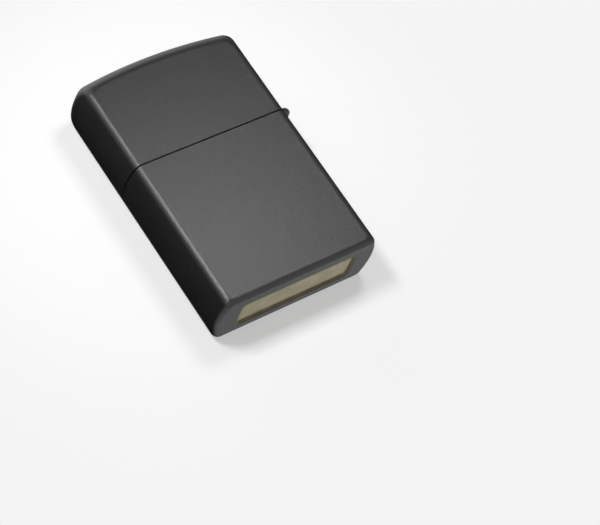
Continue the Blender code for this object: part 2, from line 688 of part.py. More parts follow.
def cam_spring():
    """A bent strip: a foot on the top plate and an arm that leans on the cam's heel."""
    rest_x = CAM_X - CAM_HEEL_BACK - CAM_HEEL - CAM_SPRING_GAP
    thickness = CAM_SPRING_THICKNESS
    foot_z = PLATE_TOP + SOFT_CLEARANCE
    arm_top = CAM_Z + CAM_HEEL_RISE + CAM_HEEL
    foot_x = CHIMNEY_RIGHT - CHIMNEY_WALL - CAM_SPRING_FOOT
    bend = 3 * thickness
    bend_x = rest_x - bend
    outer = [(bend_x + bend * sin(a), foot_z + bend - bend * cos(a)) for a in quarter()]
    small = bend - thickness
    inner = [(bend_x + small * sin(a), foot_z + bend - small * cos(a)) for a in reversed(quarter())]
    outline = [(foot_x, foot_z), *outer, (rest_x, arm_top), (rest_x - thickness, arm_top), *inner,
               (foot_x, foot_z + thickness)]
    strip = extruded("cam_spring", [outline], CAM_WIDTH - CAM_CLEARANCE, (0, 0, 0), upright=True)
    rivet_x = cam_spring_rivet_x()
    cut(strip, bar("cam_spring_hole", RIVET_RADIUS / 2 + RIVET_CLEARANCE, 2 * PLATE_RAISE,
                   (rivet_x, 0, foot_z), along_y=False, steps=12, collection=cutters))
    finish(strip, DARK_STEEL, 0.3, 1.0)
    head = foot_z + thickness + RIVET_CLEARANCE
    tail = PLATE_BOTTOM - RIVET_CLEARANCE
    height = head + RIVET_HEAD / 2 - tail
    profile = [(0, height), (RIVET_RADIUS, height), (RIVET_RADIUS, height - RIVET_HEAD / 2),
               (RIVET_RADIUS / 2, height - RIVET_HEAD / 2), (RIVET_RADIUS / 2, 0), (0, 0)]
    pin = turned("cam_spring_rivet", profile, (rivet_x, 0, tail), steps=12)
    finish(pin, DARK_STEEL, 0.35, 1.0, rounded=True)


Bay = namedtuple("Bay", "left right low high half_depth")


def packing_bay():
    """The room for the packing on the wick's side of the flint tube."""
    half_depth = TANK_INSIDE.depth / 2 - SOFT_CLEARANCE - TANK_INSIDE.corner / 2
    right = half_width(TANK_INSIDE, half_depth) - 2 * SOFT_CLEARANCE
    left = FLINT_X + TUBE_RADIUS + 2 * SOFT_CLEARANCE
    return Bay(left, right, FELT_TOP + SOFT_CLEARANCE, PLATE_BOTTOM - 2 * SOFT_CLEARANCE, half_depth)


def packing_heights(bay):
    """The thickness of a packing layer and the heights of the layers' middles, top first."""
    gap = 2 * (WICK_RADIUS + WICK_CLEARANCE)
    thickness = (bay.high - bay.low - gap * (PACKING_LAYERS - 1)) / PACKING_LAYERS
    pitch = thickness + gap
    return thickness, [bay.high - thickness / 2 - pitch * i for i in range(PACKING_LAYERS)]


def packing():
    """Layers that leave a winding way for the wick, and one pad beyond the flint tube."""
    bay = packing_bay()
    thickness, heights = packing_heights(bay)
    radius = thickness / 2
    turn = radius + 2 * (WICK_RADIUS + WICK_CLEARANCE)
    for i, z in enumerate(heights):
        last = i == PACKING_LAYERS - 1
        left = WICK_X + WICK_RADIUS + WICK_CLEARANCE if i == 0 else bay.left
        right = bay.right
        if i % 2 and not last:
            right = bay.right - turn + radius
        elif i and not last:
            left = bay.left + turn - radius
        outline = belt([(left + radius, z, radius), (right - radius, z, radius)])
        pad = extruded(f"packing_{i + 1}", [outline], 2 * bay.half_depth, (0, 0, 0), upright=True,
                       edge=PACKING_EDGE)
        finish(pad, COTTON, 0.95, rounded=True)
    far_left = -bay.right
    far_right = FLINT_X - TUBE_RADIUS - 2 * SOFT_CLEARANCE
    end = rounded_box(far_left, far_right, bay.low, bay.high, (far_right - far_left) / 4)
    pad = extruded(f"packing_{PACKING_LAYERS + 1}", [end], 2 * bay.half_depth, (0, 0, 0),
                   upright=True, edge=PACKING_EDGE)
    finish(pad, COTTON, 0.95, rounded=True)


def wick_route():
    """From the flame end down through the top plate and round the ends of the layers."""
    bay = packing_bay()
    thickness, heights = packing_heights(bay)
    bend = thickness / 2 + WICK_RADIUS + WICK_CLEARANCE
    turn = bend + WICK_RADIUS + WICK_CLEARANCE
    points = [(WICK_X, CHIMNEY_TOP - WICK_DROP), (WICK_X, PLATE_TOP + bend), (WICK_X, PLATE_BOTTOM)]
    first_x = WICK_X + bend
    points += [(first_x - bend * cos(a), heights[0] - bend * sin(a)) for a in quarter()]
    for i in range(1, PACKING_LAYERS - 1):
        outward = 1 if i % 2 else -1
        x = bay.right - turn if i % 2 else bay.left + turn
        points += [(x + outward * bend * sin(2 * a), heights[i] + bend * cos(2 * a))
                   for a in quarter(8)]
    points.append((WICK_X, heights[PACKING_LAYERS - 2] - bend))
    return points


def wick():
    curve = bpy.data.curves.new("wick", "CURVE")
    curve.dimensions = "3D"
    curve.bevel_depth = WICK_RADIUS
    curve.bevel_resolution = 2
    curve.use_fill_caps = True
    route = wick_route()
    spline = curve.splines.new("POLY")
    spline.points.add(len(route) - 1)
    for point, (x, z) in zip(spline.points, route):
        point.co = (x, 0, z, 1)
    cord = as_mesh(bpy.data.objects.new("wick_line", curve), "wick", parts)
    finish(cord, COTTON, 0.9, rounded=True)


def felt_pad():
    outline = plan(inset(TANK_INSIDE, SOFT_CLEARANCE, SOFT_CLEARANCE))
    hole = circle(FLINT_X, 0, SCREW_HEAD_RADIUS + 2 * SOFT_CLEARANCE)
    pad = extruded("felt_pad", [outline, hole], FELT_THICKNESS,
                   (0, 0, SCREW_BOTTOM + FELT_THICKNESS / 2))
    finish(pad, FELT, 0.95)


def main():
    case_shell()
    lid_shell()
    hinge()
    insert_tank()
    chimney()
    rivet("wheel_rivet", FLINT_X, WHEEL_Z, WHEEL_EAR)
    rivet("cam_rivet", CAM_X, CAM_Z, CAM_EAR)
    striker_wheel()
    flint_parts()
    flint_spring()
    flint_screw()
    cam()
    cam_spring()
    packing()
    wick()
    felt_pad()


for old in list(bpy.data.objects):
    bpy.data.objects.remove(old)
parts = bpy.data.collections.new("pocket_lighter")
cutters = bpy.data.collections.new("pocket_lighter_cutters")
bpy.context.scene.collection.children.link(parts)
bpy.context.scene.collection.children.link(cutters)
main()
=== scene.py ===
import json
from math import acos, atan2, cos, hypot, pi, radians, sin, sqrt

import bmesh
import bpy
from bpy.props import FloatProperty, FloatVectorProperty, IntProperty, PointerProperty
from bpy.types import Operator, Panel, PropertyGroup
from mathutils import Matrix, Vector, noise


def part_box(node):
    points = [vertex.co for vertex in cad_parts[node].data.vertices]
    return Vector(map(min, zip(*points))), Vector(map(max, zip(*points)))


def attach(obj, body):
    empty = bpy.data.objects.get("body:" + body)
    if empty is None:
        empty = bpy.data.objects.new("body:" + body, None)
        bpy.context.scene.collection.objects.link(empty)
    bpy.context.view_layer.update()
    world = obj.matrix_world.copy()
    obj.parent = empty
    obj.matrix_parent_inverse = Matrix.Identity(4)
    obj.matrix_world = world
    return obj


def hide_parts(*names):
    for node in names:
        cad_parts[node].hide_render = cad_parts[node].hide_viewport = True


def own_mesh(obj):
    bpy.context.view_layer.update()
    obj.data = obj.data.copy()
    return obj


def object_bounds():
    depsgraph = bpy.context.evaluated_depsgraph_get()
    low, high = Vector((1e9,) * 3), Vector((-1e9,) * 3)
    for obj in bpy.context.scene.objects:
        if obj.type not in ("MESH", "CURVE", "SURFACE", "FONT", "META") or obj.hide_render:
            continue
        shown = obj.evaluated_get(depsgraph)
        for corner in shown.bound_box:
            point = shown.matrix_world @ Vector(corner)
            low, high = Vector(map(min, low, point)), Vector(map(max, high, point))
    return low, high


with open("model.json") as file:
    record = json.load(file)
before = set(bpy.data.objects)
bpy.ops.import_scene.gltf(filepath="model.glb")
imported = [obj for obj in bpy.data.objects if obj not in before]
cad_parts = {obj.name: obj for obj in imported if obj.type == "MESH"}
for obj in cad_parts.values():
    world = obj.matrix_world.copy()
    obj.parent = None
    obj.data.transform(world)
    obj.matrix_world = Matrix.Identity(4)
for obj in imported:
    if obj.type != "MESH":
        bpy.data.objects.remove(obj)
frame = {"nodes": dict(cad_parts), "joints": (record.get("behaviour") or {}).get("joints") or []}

bl_info = {
    "name": "Flip-top pocket lighter",
    "version": (1, 0, 0),
    "blender": (4, 5, 0),
    "location": "3D View > Sidebar > Lighter",
    "description": "Builds the visible shells, insert, soft parts and stage of a pocket lighter",
    "category": "Add Mesh",
}

MM = 0.001
CAD_BOX = [list(corner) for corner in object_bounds()]
JOINTS = {joint["name"]: joint for joint in frame["joints"]}
HINGE = Vector(JOINTS["lid_hinge"]["pos_m"])
WHEEL_AXIS = Vector(JOINTS["striker_spin"]["pos_m"])
CAM_AXIS = Vector(JOINTS["cam_swing"]["pos_m"])


# Fits, clearances and soft edges, in metres
SHEET_SOFT = 0.05 * MM
PANEL_FIT = 0.03 * MM
PANEL_SHEET = 0.08 * MM
PANEL_FLANGE = 0.16 * MM
PANEL_FLANGE_FOOT = 0.1 * MM
NOTCH_INWARD = 1.7 * MM
NOTCH_OUTWARD = 2 * MM
KNUCKLE_SOFT = 0.08 * MM
LEAF_FROM_AXIS = 1.0 * MM
WEB_SHORT_OF_AXIS = 0.5 * MM
TANK_WALL = 0.35 * MM
GUARD_SOFT = 0.06 * MM
GUARD_TO_TUBE = 0.6 * MM
WICK_ROOM = 1.4 * MM
TUBE_HOLE = 2.2 * MM
SPRING_RIVET_HOLE = 0.5 * MM
WHEEL_SIDE_ROOM = 0.3 * MM
WHEEL_UNDER_ROOM = 0.4 * MM
CAM_SIDE_ROOM = 0.25 * MM
CAM_OVER_ROOM = 1.0 * MM
EAR_CORNER = 0.3 * MM
EAR_FOOT_DROP = 1.3 * MM
STRIP_SOFT = 0.04 * MM
WICK_STEP = 0.25 * MM
WICK_BRAID_RADIUS = 0.76 * MM
WICK_BRAID_WAVE = 0.1 * MM
WICK_BRAID_PITCH = 6.5 * MM
COTTON_LUMP = 1.6 * MM
FELT_HOLE = 2.7 * MM
FELT_SOFT = 0.3 * MM
FELT_SLIT_LOW = (2 * MM, -3 * MM)
FELT_SLIT_HIGH = (2.25 * MM, 3 * MM)
PLANE_GAP = 0.03 * MM

# Where the bands of the striker wheel's rim start, as shares of its half width from the middle
GROOVE_FROM = 0.42
COARSE_FROM = 0.48
CHAMFER_FROM = 0.93

# How the rim's teeth are cut
COARSE_SLANT = 0.12
FINE_RATIO = 1.5
FINE_CROSSINGS = 9
FINE_DROP = 0.17 * MM
GROOVE_DEPTH = 0.12 * MM
CHAMFER_DROP = 3 * MM


# Sizes and colours

def millimetres(name, description, size):
    """A length that a user can change, given in millimetres."""
    return FloatProperty(name=name, description=description, default=size * MM, unit="LENGTH")


def tint(name, description, colour):
    """A colour that a user can change."""
    return FloatVectorProperty(name=name, description=description, default=colour, subtype="COLOR")


class ShellSizes(PropertyGroup):
    """The case and lid, where the frame doesn't say."""
    wall: millimetres("Wall", "Sheet thickness", 0.6)
    corner: millimetres("Corner", "Radius of the upright edges", 2.0)
    bow: millimetres("Bow", "Radius of the narrow sides", 14.0)
    crown: millimetres("Crown", "Rise of the lid's top", 1.6)
    lid_end: millimetres("Lid end", "Radius at the ends of the lid's top", 2.1)
    lid_edge: millimetres("Lid edge", "Radius along the lid's front and back", 3.2)
    base_edge: millimetres("Base edge", "Radius round the base", 1.3)
    lip: millimetres("Lip", "Softening of the rims", 0.07)
    panel_length: millimetres("Panel length", "Bare panel in the base", 26.5)
    panel_depth: millimetres("Panel depth", "Bare panel in the base", 7.4)
    panel_corner: millimetres("Panel corner", "Corner radius of the panel", 1.2)
    panel_sink: millimetres("Panel sink", "Depth of the panel's recess", 0.55)
    notch_height: millimetres("Notch height", "Hinge notch in each rim", 1.3)
    notch_length: millimetres("Notch length", "Hinge notch along the rim", 10.3)


class HingeSizes(PropertyGroup):
    """Leaves and knuckles."""
    knuckle: millimetres("Knuckle radius", "Outer radius", 0.95)
    bore: millimetres("Bore radius", "Hole for the pin", 0.48)
    gap: millimetres("Gap", "Between knuckles", 0.12)
    leaf: millimetres("Leaf thickness", "Sheet of the leaves", 0.4)
    leaf_gap: millimetres("Leaf gap", "From leaf to wall", 0.1)
    web_near: millimetres("Web start", "From the axis to a web", 0.3)
    web_far: millimetres("Web end", "From the axis to a web's far face", 1.15)


class InsertSizes(PropertyGroup):
    """The wind guard and the striker."""
    guard_wall: millimetres("Guard wall", "Sheet thickness", 0.45)
    guard_inset: millimetres("Guard inset", "From the plate's edge to the guard", 1.15)
    hole: millimetres("Hole radius", "Air holes in the guard", 1.0)
    hole_pitch: millimetres("Hole pitch", "Distance between air holes", 3.3)
    ear: millimetres("Ear", "Thickness of the ears", 0.42)
    ear_hub: millimetres("Ear hub", "Radius of the ears round their rivets", 2.0)
    plate: millimetres("Plate", "Thickness of the top plate", 0.5)
    rivet_hole: millimetres("Rivet hole", "Radius", 0.9)
    teeth: IntProperty(name="Teeth", description="Coarse teeth of the striker wheel", default=26,
                       min=8)
    tooth: millimetres("Tooth depth", "Depth of the wheel's teeth", 0.28)
    wire: millimetres("Spring wire", "Radius of the flint spring's wire", 0.2)
    turns: IntProperty(name="Turns", description="Turns of the flint spring", default=12, min=3)
    press: millimetres("Press", "How far the flint spring is pressed", 1.0)
    strip: millimetres("Strip", "Thickness of the cam's spring", 0.25)
    give: FloatProperty(name="Give", description="Share of its reach that the strip keeps",
                        default=0.87)
    strand: millimetres("Strand", "Radius of one strand of the wick", 0.36)
    strands: IntProperty(name="Strands", description="Strands in the wick's braid", default=8,
                         min=4)


class Finishes(PropertyGroup):
    """Colours of the finishes."""
    coat: tint("Coat", "Matt coat of case and lid", (0.017, 0.017, 0.0175))
    bare: tint("Bare metal", "Uncoated panel in the base", (0.33, 0.295, 0.195))
    steel: tint("Steel", "Stainless sheet of the insert", (0.60, 0.59, 0.57))
    dark_steel: tint("Dark steel", "Wheel, rivets and springs", (0.30, 0.30, 0.31))
    brass: tint("Brass", "Tube, screw and plunger", (0.72, 0.52, 0.25))
    flint: tint("Flint", "Sintered rod", (0.14, 0.13, 0.13))
    cotton: tint("Cotton", "Wick and packing", (0.78, 0.75, 0.68))
    felt: tint("Felt", "Pad under the tank", (0.62, 0.60, 0.55))


class StageSettings(PropertyGroup):
    """Camera, lights and backdrop."""
    azimuth: FloatProperty(name="Azimuth", description="Camera's bearing from the front",
                           default=radians(-29.78), subtype="ANGLE")
    elevation: FloatProperty(name="Elevation", description="Camera's height angle",
                             default=radians(-19.18), subtype="ANGLE")
    roll: FloatProperty(name="Roll", description="Camera's turn about its own line of sight",
                        default=radians(-34.62), subtype="ANGLE")
    distance: millimetres("Distance", "From the camera to its aim", 397.7)
    aim: FloatVectorProperty(name="Aim", description="Where the camera points", subtype="XYZ",
                             default=(4.08 * MM, 0.0, 4.89 * MM))
    lens: FloatProperty(name="Lens", description="Focal length in millimetres", default=124.96)
    backdrop: tint("Backdrop", "Colour behind the object", (0.905, 0.905, 0.905))
    fill: FloatProperty(name="Fill", description="World light on the object", default=0.25)
    glow: FloatProperty(name="Glow", description="Paleness of the plane behind", default=0.505)
    floor_glow: FloatProperty(name="Floor glow", description="Paleness of the floor",
                              default=0.64)


# Shader maths

class Value:
    """A node socket on which Python's operators make Math nodes."""

    def __init__(self, shader, socket):
        self.shader = shader
        self.socket = socket

    def maths(self, operation, first, second):
        return self.shader.node("ShaderNodeMath", {"operation": operation}, {0: first, 1: second})

    def __add__(self, other):
        return self.maths("ADD", self, other)

    def __radd__(self, other):
        return self.maths("ADD", other, self)

    def __sub__(self, other):
        return self.maths("SUBTRACT", self, other)

    def __rsub__(self, other):
        return self.maths("SUBTRACT", other, self)

    def __mul__(self, other):
        return self.maths("MULTIPLY", self, other)

    def __rmul__(self, other):
        return self.maths("MULTIPLY", other, self)

    def __gt__(self, other):
        return self.maths("GREATER_THAN", self, other)

    def __lt__(self, other):
        return self.maths("LESS_THAN", self, other)


class Shader:
    """A material or a world whose nodes come from one method."""

    def __init__(self, name, material=True):
        if material:
            self.owner = bpy.data.materials.new(name)
        else:
            self.owner = bpy.data.worlds.new(name)
        self.owner.use_nodes = True
        self.tree = self.owner.node_tree
        self.tree.nodes.clear()

    def node(self, kind, settings=None, inputs=None, output=0):
        """Adds a node: its settings first, then the values or links of its sockets."""
        made = self.tree.nodes.new(kind)
        for key, setting in (settings or {}).items():
            setattr(made, key, setting)
        for key, value in (inputs or {}).items():
            if isinstance(value, Value):
                self.tree.links.new(value.socket, made.inputs[key])
            else:
                made.inputs[key].default_value = value
        if not made.outputs:
            return made
        return Value(self, made.outputs[output])

    def place(self):
        """Object coordinates, which are the frame's own metres."""
        return self.node("ShaderNodeTexCoord", output="Object")

    def stretched(self, scale):
        return self.node("ShaderNodeMapping", {}, {"Vector": self.place(), "Scale": scale})

    def grain(self, size, vector=None, detail=2.0, rough=0.5):
        """Noise whose features are about size metres across."""
        return self.node("ShaderNodeTexNoise", {},
                         {"Vector": vector or self.place(), "Scale": 1 / size, "Detail": detail,
                          "Roughness": rough})

    def mix(self, factor, first, second):
        return self.node("ShaderNodeMix", {"data_type": "RGBA"}, {0: factor, 6: first, 7: second},
                         output=2)

    def bump(self, height, distance, strength=1.0):
        return self.node("ShaderNodeBump", {},
                         {"Height": height, "Distance": distance, "Strength": strength})

    def surface(self, **sockets):
        """The Principled shader, with its sockets named by words."""
        inputs = {key.replace("_", " ").title().replace("Ior", "IOR"): value
                  for key, value in sockets.items()}
        shader = self.node("ShaderNodeBsdfPrincipled", {}, inputs)
        self.node("ShaderNodeOutputMaterial", {}, {"Surface": shader})
        return self.owner


def rgba(colour, level=1.0):
    return (colour[0] * level, colour[1] * level, colour[2] * level, 1.0)


def coat_finish(colour):
    """Matt coat: a fine orange-peel grain, faint mottling and a few specks of dust."""
    shader = Shader("matt_black_coat")
    fine = shader.grain(0.13 * MM, detail=2.0, rough=0.6)
    peel = shader.grain(0.35 * MM)
    cloud = shader.grain(6.0 * MM, detail=3.0)
    cells = {"feature": "F1"}
    inputs = {"Vector": shader.place(), "Scale": 1 / (1.3 * MM)}
    spot = shader.node("ShaderNodeTexVoronoi", cells, inputs, output="Distance")
    chance = shader.node("ShaderNodeTexVoronoi", cells, inputs, output="Color")
    red = shader.node("ShaderNodeSeparateColor", {}, {"Color": chance})
    dust = (spot < 0.06) * (red > 0.965)
    tone = shader.mix(fine * 0.5 + cloud * 0.5, rgba(colour, 0.74), rgba(colour, 1.26))
    tone = shader.mix(dust * 0.55, tone, (0.32, 0.32, 0.31, 1.0))
    height = fine * 0.7 + peel * 0.3
    return shader.surface(base_color=tone, roughness=0.18 + fine * 0.24 + cloud * 0.06,
                          specular_ior_level=0.5, normal=shader.bump(height, 0.066 * MM, 0.8))


def bare_finish(colour):
    """Uncoated pressed panel: drawn lines, stains and a pebbled surface."""
    shader = Shader("bare_pale_brass")
    lines = shader.grain(0.09 * MM, shader.stretched((0.04, 1.0, 1.0)), detail=3.0)
    pits = shader.grain(0.6 * MM, detail=3.0, rough=0.65)
    stain = shader.grain(3.0 * MM, detail=4.0)
    tone = shader.mix(stain * 0.6 + pits * 0.4, rgba(colour, 0.45), rgba(colour, 1.4))
    height = lines * 0.3 + pits * 0.7
    return shader.surface(base_color=tone, metallic=1.0,
                          roughness=0.30 + lines * 0.14 + stain * 0.12,
                          normal=shader.bump(height, 0.12 * MM, 0.8))


def sheet_finish(name, colour, along, roughness, soot=False, level=1.0):
    """Metal with fine lines along one axis, soot near the flame where it is asked for, and the
    whole colour scaled by level, which paints shade where it is below one.
    """
    shader = Shader(name)
    scale = [1.0, 1.0, 1.0]
    scale["XYZ".index(along)] = 0.03
    lines = shader.grain(0.07 * MM, shader.stretched(scale), detail=3.0)
    smear = shader.grain(3.0 * MM, detail=2.0)
    tone = shader.mix(smear, rgba(colour, 0.84 * level), rgba(colour, 1.08 * level))
    if soot:
        across = shader.node("ShaderNodeSeparateXYZ", {}, {"Vector": shader.place()}, output="Z")
        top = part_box("chimney")[1].z
        near = shader.node("ShaderNodeMapRange", {"interpolation_type": "SMOOTHSTEP"},
                           {0: across, 1: top - 7 * MM, 2: top, 3: 0.0, 4: 1.0})
        tone = shader.mix(near * smear * 0.55, tone, rgba(colour, 0.16))
    return shader.surface(base_color=tone, metallic=1.0,
                          roughness=roughness + lines * 0.14 + smear * 0.08,
                          normal=shader.bump(lines, 0.012 * MM, 0.5))


def rod_finish(colour):
    shader = Shader("flint_rod")
    pits = shader.grain(0.2 * MM, detail=4.0, rough=0.7)
    tone = shader.mix(pits, rgba(colour, 0.6), rgba(colour, 1.5))
    return shader.surface(base_color=tone, metallic=0.6, roughness=0.5 + pits * 0.3,
                          normal=shader.bump(pits, 0.06 * MM, 0.7))


def fibre_finish(name, colour, size, stretch=(1.0, 1.0, 1.0)):
    """Cotton or felt: tangled fibres that catch a little light at the edge."""
    shader = Shader(name)
    fibres = shader.grain(size, shader.stretched(stretch), detail=5.0, rough=0.7)
    clumps = shader.grain(size * 12, detail=3.0)
    tone = shader.mix(fibres * 0.6 + clumps * 0.4, rgba(colour, 0.66), rgba(colour, 1.16))
    return shader.surface(base_color=tone, roughness=0.88 + fibres * 0.1, sheen_weight=0.25,
                          normal=shader.bump(fibres * 0.7 + clumps * 0.3, size * 0.6, 0.8))


def finish(name):
    """The material of a finish, made once."""
    if name in bpy.data.materials:
        return bpy.data.materials[name]
    colours = bpy.context.scene.lighter_finishes
    makers = {
        "matt_black_coat": lambda: coat_finish(colours.coat),
        "bare_pale_brass": lambda: bare_finish(colours.bare),
        "satin_steel": lambda: sheet_finish("satin_steel", colours.steel, "Z", 0.26, soot=True),
        # The tank uses the insert's steel at 0.35 of its brightness: painted shade for the tank
        # inside the case, seen through the gap under the lid.
        "tank_steel_painted_shade": lambda: sheet_finish("tank_steel_painted_shade", colours.steel, "Z", 0.5, level=0.35),
        "dark_steel": lambda: sheet_finish("dark_steel", colours.dark_steel, "Y", 0.34),
        "turned_brass": lambda: sheet_finish("turned_brass", colours.brass, "X", 0.28),
        "flint_rod": lambda: rod_finish(colours.flint),
        "cotton_fibre": lambda: fibre_finish("cotton_fibre", colours.cotton, 0.12 * MM),
        "pressed_felt": lambda: fibre_finish("pressed_felt", colours.felt, 0.16 * MM,
                                             (1.0, 1.0, 2.5)),
    }
    return makers[name]()


# Mesh helpers

def quarter(steps):
    """Angles that divide a right angle."""
    return [pi / 2 * i / steps for i in range(steps + 1)]


class Plan:
    """A plan section with bowed narrow sides and round corners."""

    def __init__(self, width, depth, corner, bow):
        self.width, self.depth, self.corner, self.bow = width, depth, corner, bow
        self.corner_y = depth / 2 - corner
        reach = bow - corner
        self.join_y = self.corner_y * bow / reach
        self.centre_x = width / 2 - bow
        self.corner_x = self.centre_x + sqrt(reach ** 2 - self.corner_y ** 2)

    def inset(self, ends, faces):
        return Plan(self.width - 2 * ends, self.depth - 2 * faces, self.corner - faces,
                    self.bow - ends)

    def half_width(self, y):
        y = abs(y)
        if y < self.join_y:
            return self.centre_x + sqrt(self.bow ** 2 - y * y)
        return self.corner_x + sqrt(max(self.corner ** 2 - (y - self.corner_y) ** 2, 0.0))

    def outline(self, steps=10):
        rows = [self.join_y * i / steps for i in range(steps)]
        rows += [self.join_y + (self.depth / 2 - self.join_y) * sin(a) for a in quarter(steps)]
        side = [(self.half_width(y), y) for y in rows]
        back = [(-x, y) for x, y in reversed(side)]
        front = [(-x, -y) for x, y in side[1:]]
        return side + back + front + [(x, -y) for x, y in reversed(side[1:])]


def outside_plan():
    sizes = bpy.context.scene.lighter_shell
    low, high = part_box("case_shell")
    return Plan(high.x - low.x, high.y - low.y, sizes.corner, sizes.bow)


def insert_plan():
    sizes = bpy.context.scene.lighter_shell
    low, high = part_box("insert_tank")
    ends = (outside_plan().width - (high.x - low.x)) / 2
    faces = (outside_plan().depth - (high.y - low.y)) / 2
    return Plan(high.x - low.x, high.y - low.y, sizes.corner - faces, sizes.bow - ends)


def row_fractions(half, corner, edge, least):
    """Distances from the broad face inward, close together where the form turns."""
    found = {0.0, half}
    for turn in quarter(14):
        found.add(corner * (1 - cos(turn * 0.85)))
        found.add(edge * (1 - sin(turn)))
    bowed = max(corner, edge)
    found |= {bowed + (half - bowed) * part / 8 for part in range(1, 8)}
    kept = [0.0]
    for distance in sorted(found):
        if distance - kept[-1] > least:
            kept.append(distance)
    return kept


def arch(width, top, end, crown):
    """Half of a cup's end in XZ, from its upright side to the middle of its top."""
    centre_x = width - end
    if crown:
        crown_z = top - crown
        centre_z = crown_z + sqrt((crown - end) ** 2 - centre_x ** 2)
        lean = atan2(centre_x, centre_z - crown_z)
    else:
        centre_z = top - end
        lean = 0.0
    points = [(centre_x + end * cos(turn * (1 - 2 * lean / pi)),
               centre_z + end * sin(turn * (1 - 2 * lean / pi))) for turn in quarter(12)]
    if crown:
        points += [(crown * sin(lean * (1 - i / 16)), crown_z + crown * cos(lean * (1 - i / 16)))
                   for i in range(1, 17)]
    return points


def cup_rows(plan, fractions, height, edge, end, crown):
    """Rows of points over a cup, front to back, with heights from its rim."""
    half = plan.depth / 2
    ys = [half - distance * half / fractions[-1] for distance in fractions]
    rows = []
    for y in [-y for y in ys] + ys[-2::-1]:
        bend = min(max(abs(y) - (half - edge), 0.0), edge)
        top = height - edge + sqrt(edge ** 2 - bend ** 2)
        side = arch(plan.half_width(y), top, end, crown)
        points = [(side[0][0], 0.0)]
        points += [(side[0][0], side[0][1] * part / 6) for part in range(1, 6)]
        points += side
        mirrored = [(-x, z) for x, z in reversed(points) if x > 1e-9]
        rows.append([(x, y, z) for x, z in points + mirrored])
    return rows


def cup(name, plan, rim, end_z, edge, end, crown):
    """A cup with an outer and an inner skin and a rim between them."""
    wall = bpy.context.scene.lighter_shell.wall
    upward = 1 if end_z > rim else -1
    height = abs(end_z - rim)
    fractions = row_fractions(plan.depth / 2, plan.corner, edge, 0.04 * MM)
    skins = [cup_rows(plan, fractions, height, edge, end, crown),
             cup_rows(plan.inset(wall, wall), fractions, height - wall, edge - wall, end - wall,
                      crown - wall if crown else 0.0)]
    mesh = bmesh.new()
    grids = [[[mesh.verts.new((x, y, rim + upward * z)) for x, y, z in row] for row in skin]
             for skin in skins]
    for grid in grids:
        mesh.faces.new(grid[0])
        mesh.faces.new(grid[-1])
        for near, far in zip(grid, grid[1:]):
            for i in range(len(near) - 1):
                mesh.faces.new((near[i], near[i + 1], far[i + 1], far[i]))
    rims = [[row[0] for row in grid] + [row[-1] for row in reversed(grid)] for grid in grids]
    for i in range(len(rims[0])):
        mesh.faces.new((rims[0][i - 1], rims[0][i], rims[1][i], rims[1][i - 1]))
    bmesh.ops.recalc_face_normals(mesh, faces=mesh.faces)
    return to_object(mesh, name)


def to_object(mesh, name):
    data = bpy.data.meshes.new(name)
    mesh.to_mesh(data)
    mesh.free()
    obj = bpy.data.objects.new(name, data)
    bpy.context.scene.collection.objects.link(obj)
    return obj


def belt(circles, steps=12):
    """The outline pulled tight round circles (x, y, radius) that are listed anticlockwise."""
    normals = []
    for (x0, y0, r0), (x1, y1, r1) in zip(circles, circles[1:] + circles[:1]):
        span = hypot(x1 - x0, y1 - y0)
        normals.append(atan2(y1 - y0, x1 - x0) - acos((r0 - r1) / span))
    points = []
    for i, (x, y, radius) in enumerate(circles):
        turn = (normals[i] - normals[i - 1]) % (2 * pi)
        for step in range(steps + 1):
            angle = normals[i - 1] + turn * step / steps
            points.append((x + radius * cos(angle), y + radius * sin(angle)))
    return points


def circle(x, y, radius, steps=40):
    return [(x + radius * cos(2 * pi * i / steps), y + radius * sin(2 * pi * i / steps))
            for i in range(steps)]


def rounded_box(left, right, low, high, radius):
    return belt([(left + radius, low + radius, radius), (right - radius, low + radius, radius),
                 (right - radius, high - radius, radius), (left + radius, high - radius, radius)])


def sheet(name, outlines, thickness, location, upright=False):
    """A flat piece cut to outlines, lying in XY or standing in XZ."""
    curve = bpy.data.curves.new(name, "CURVE")
    curve.dimensions = "2D"
    curve.fill_mode = "BOTH"
    curve.extrude = thickness / 2
    for outline in outlines:
        spline = curve.splines.new("POLY")
        spline.points.add(len(outline) - 1)
        for point, (x, y) in zip(spline.points, outline):
            point.co = (x, y, 0, 1)
        spline.use_cyclic_u = True
    turn = Matrix.Rotation(pi / 2, 4, "X") if upright else Matrix.Identity(4)
    return curve_mesh(curve, name, Matrix.Translation(location) @ turn)


def wire(name, route, radius, sides=3):
    """A round wire along a route of points."""
    curve = bpy.data.curves.new(name, "CURVE")
    curve.dimensions = "3D"
    curve.bevel_depth = radius
    curve.bevel_resolution = sides
    curve.use_fill_caps = True
    spline = curve.splines.new("POLY")
    spline.points.add(len(route) - 1)
    for point, place in zip(spline.points, route):
        point.co = (*place, 1)
    return curve_mesh(curve, name, Matrix.Identity(4))


def curve_mesh(curve, name, matrix):
    """A curve turned into a welded mesh whose points are in the frame's metres."""
    drawn = bpy.data.objects.new(name + "_curve", curve)
    bpy.context.scene.collection.objects.link(drawn)
    evaluated = drawn.evaluated_get(bpy.context.evaluated_depsgraph_get())
    mesh = bmesh.new()
    source = bpy.data.meshes.new_from_object(evaluated)
    mesh.from_mesh(source)
    bmesh.ops.remove_doubles(mesh, verts=mesh.verts, dist=1e-7)
    bmesh.ops.recalc_face_normals(mesh, faces=mesh.faces)
    mesh.transform(matrix)
    bpy.data.objects.remove(drawn)
    bpy.data.meshes.remove(source)
    return to_object(mesh, name)


def block(name, low, high):
    """A block between two corners, for cutting."""
    mesh = bmesh.new()
    size = Vector(high) - Vector(low)
    middle = (Vector(high) + Vector(low)) / 2
    bmesh.ops.create_cube(mesh, size=1.0,
                          matrix=Matrix.Translation(middle) @ Matrix.Diagonal((*size, 1.0)))
    return to_object(mesh, name)


def square(name, half):
    """A flat square in XY, half its side given."""
    mesh = bmesh.new()
    bmesh.ops.create_grid(mesh, x_segments=1, y_segments=1, size=half)
    return to_object(mesh, name)


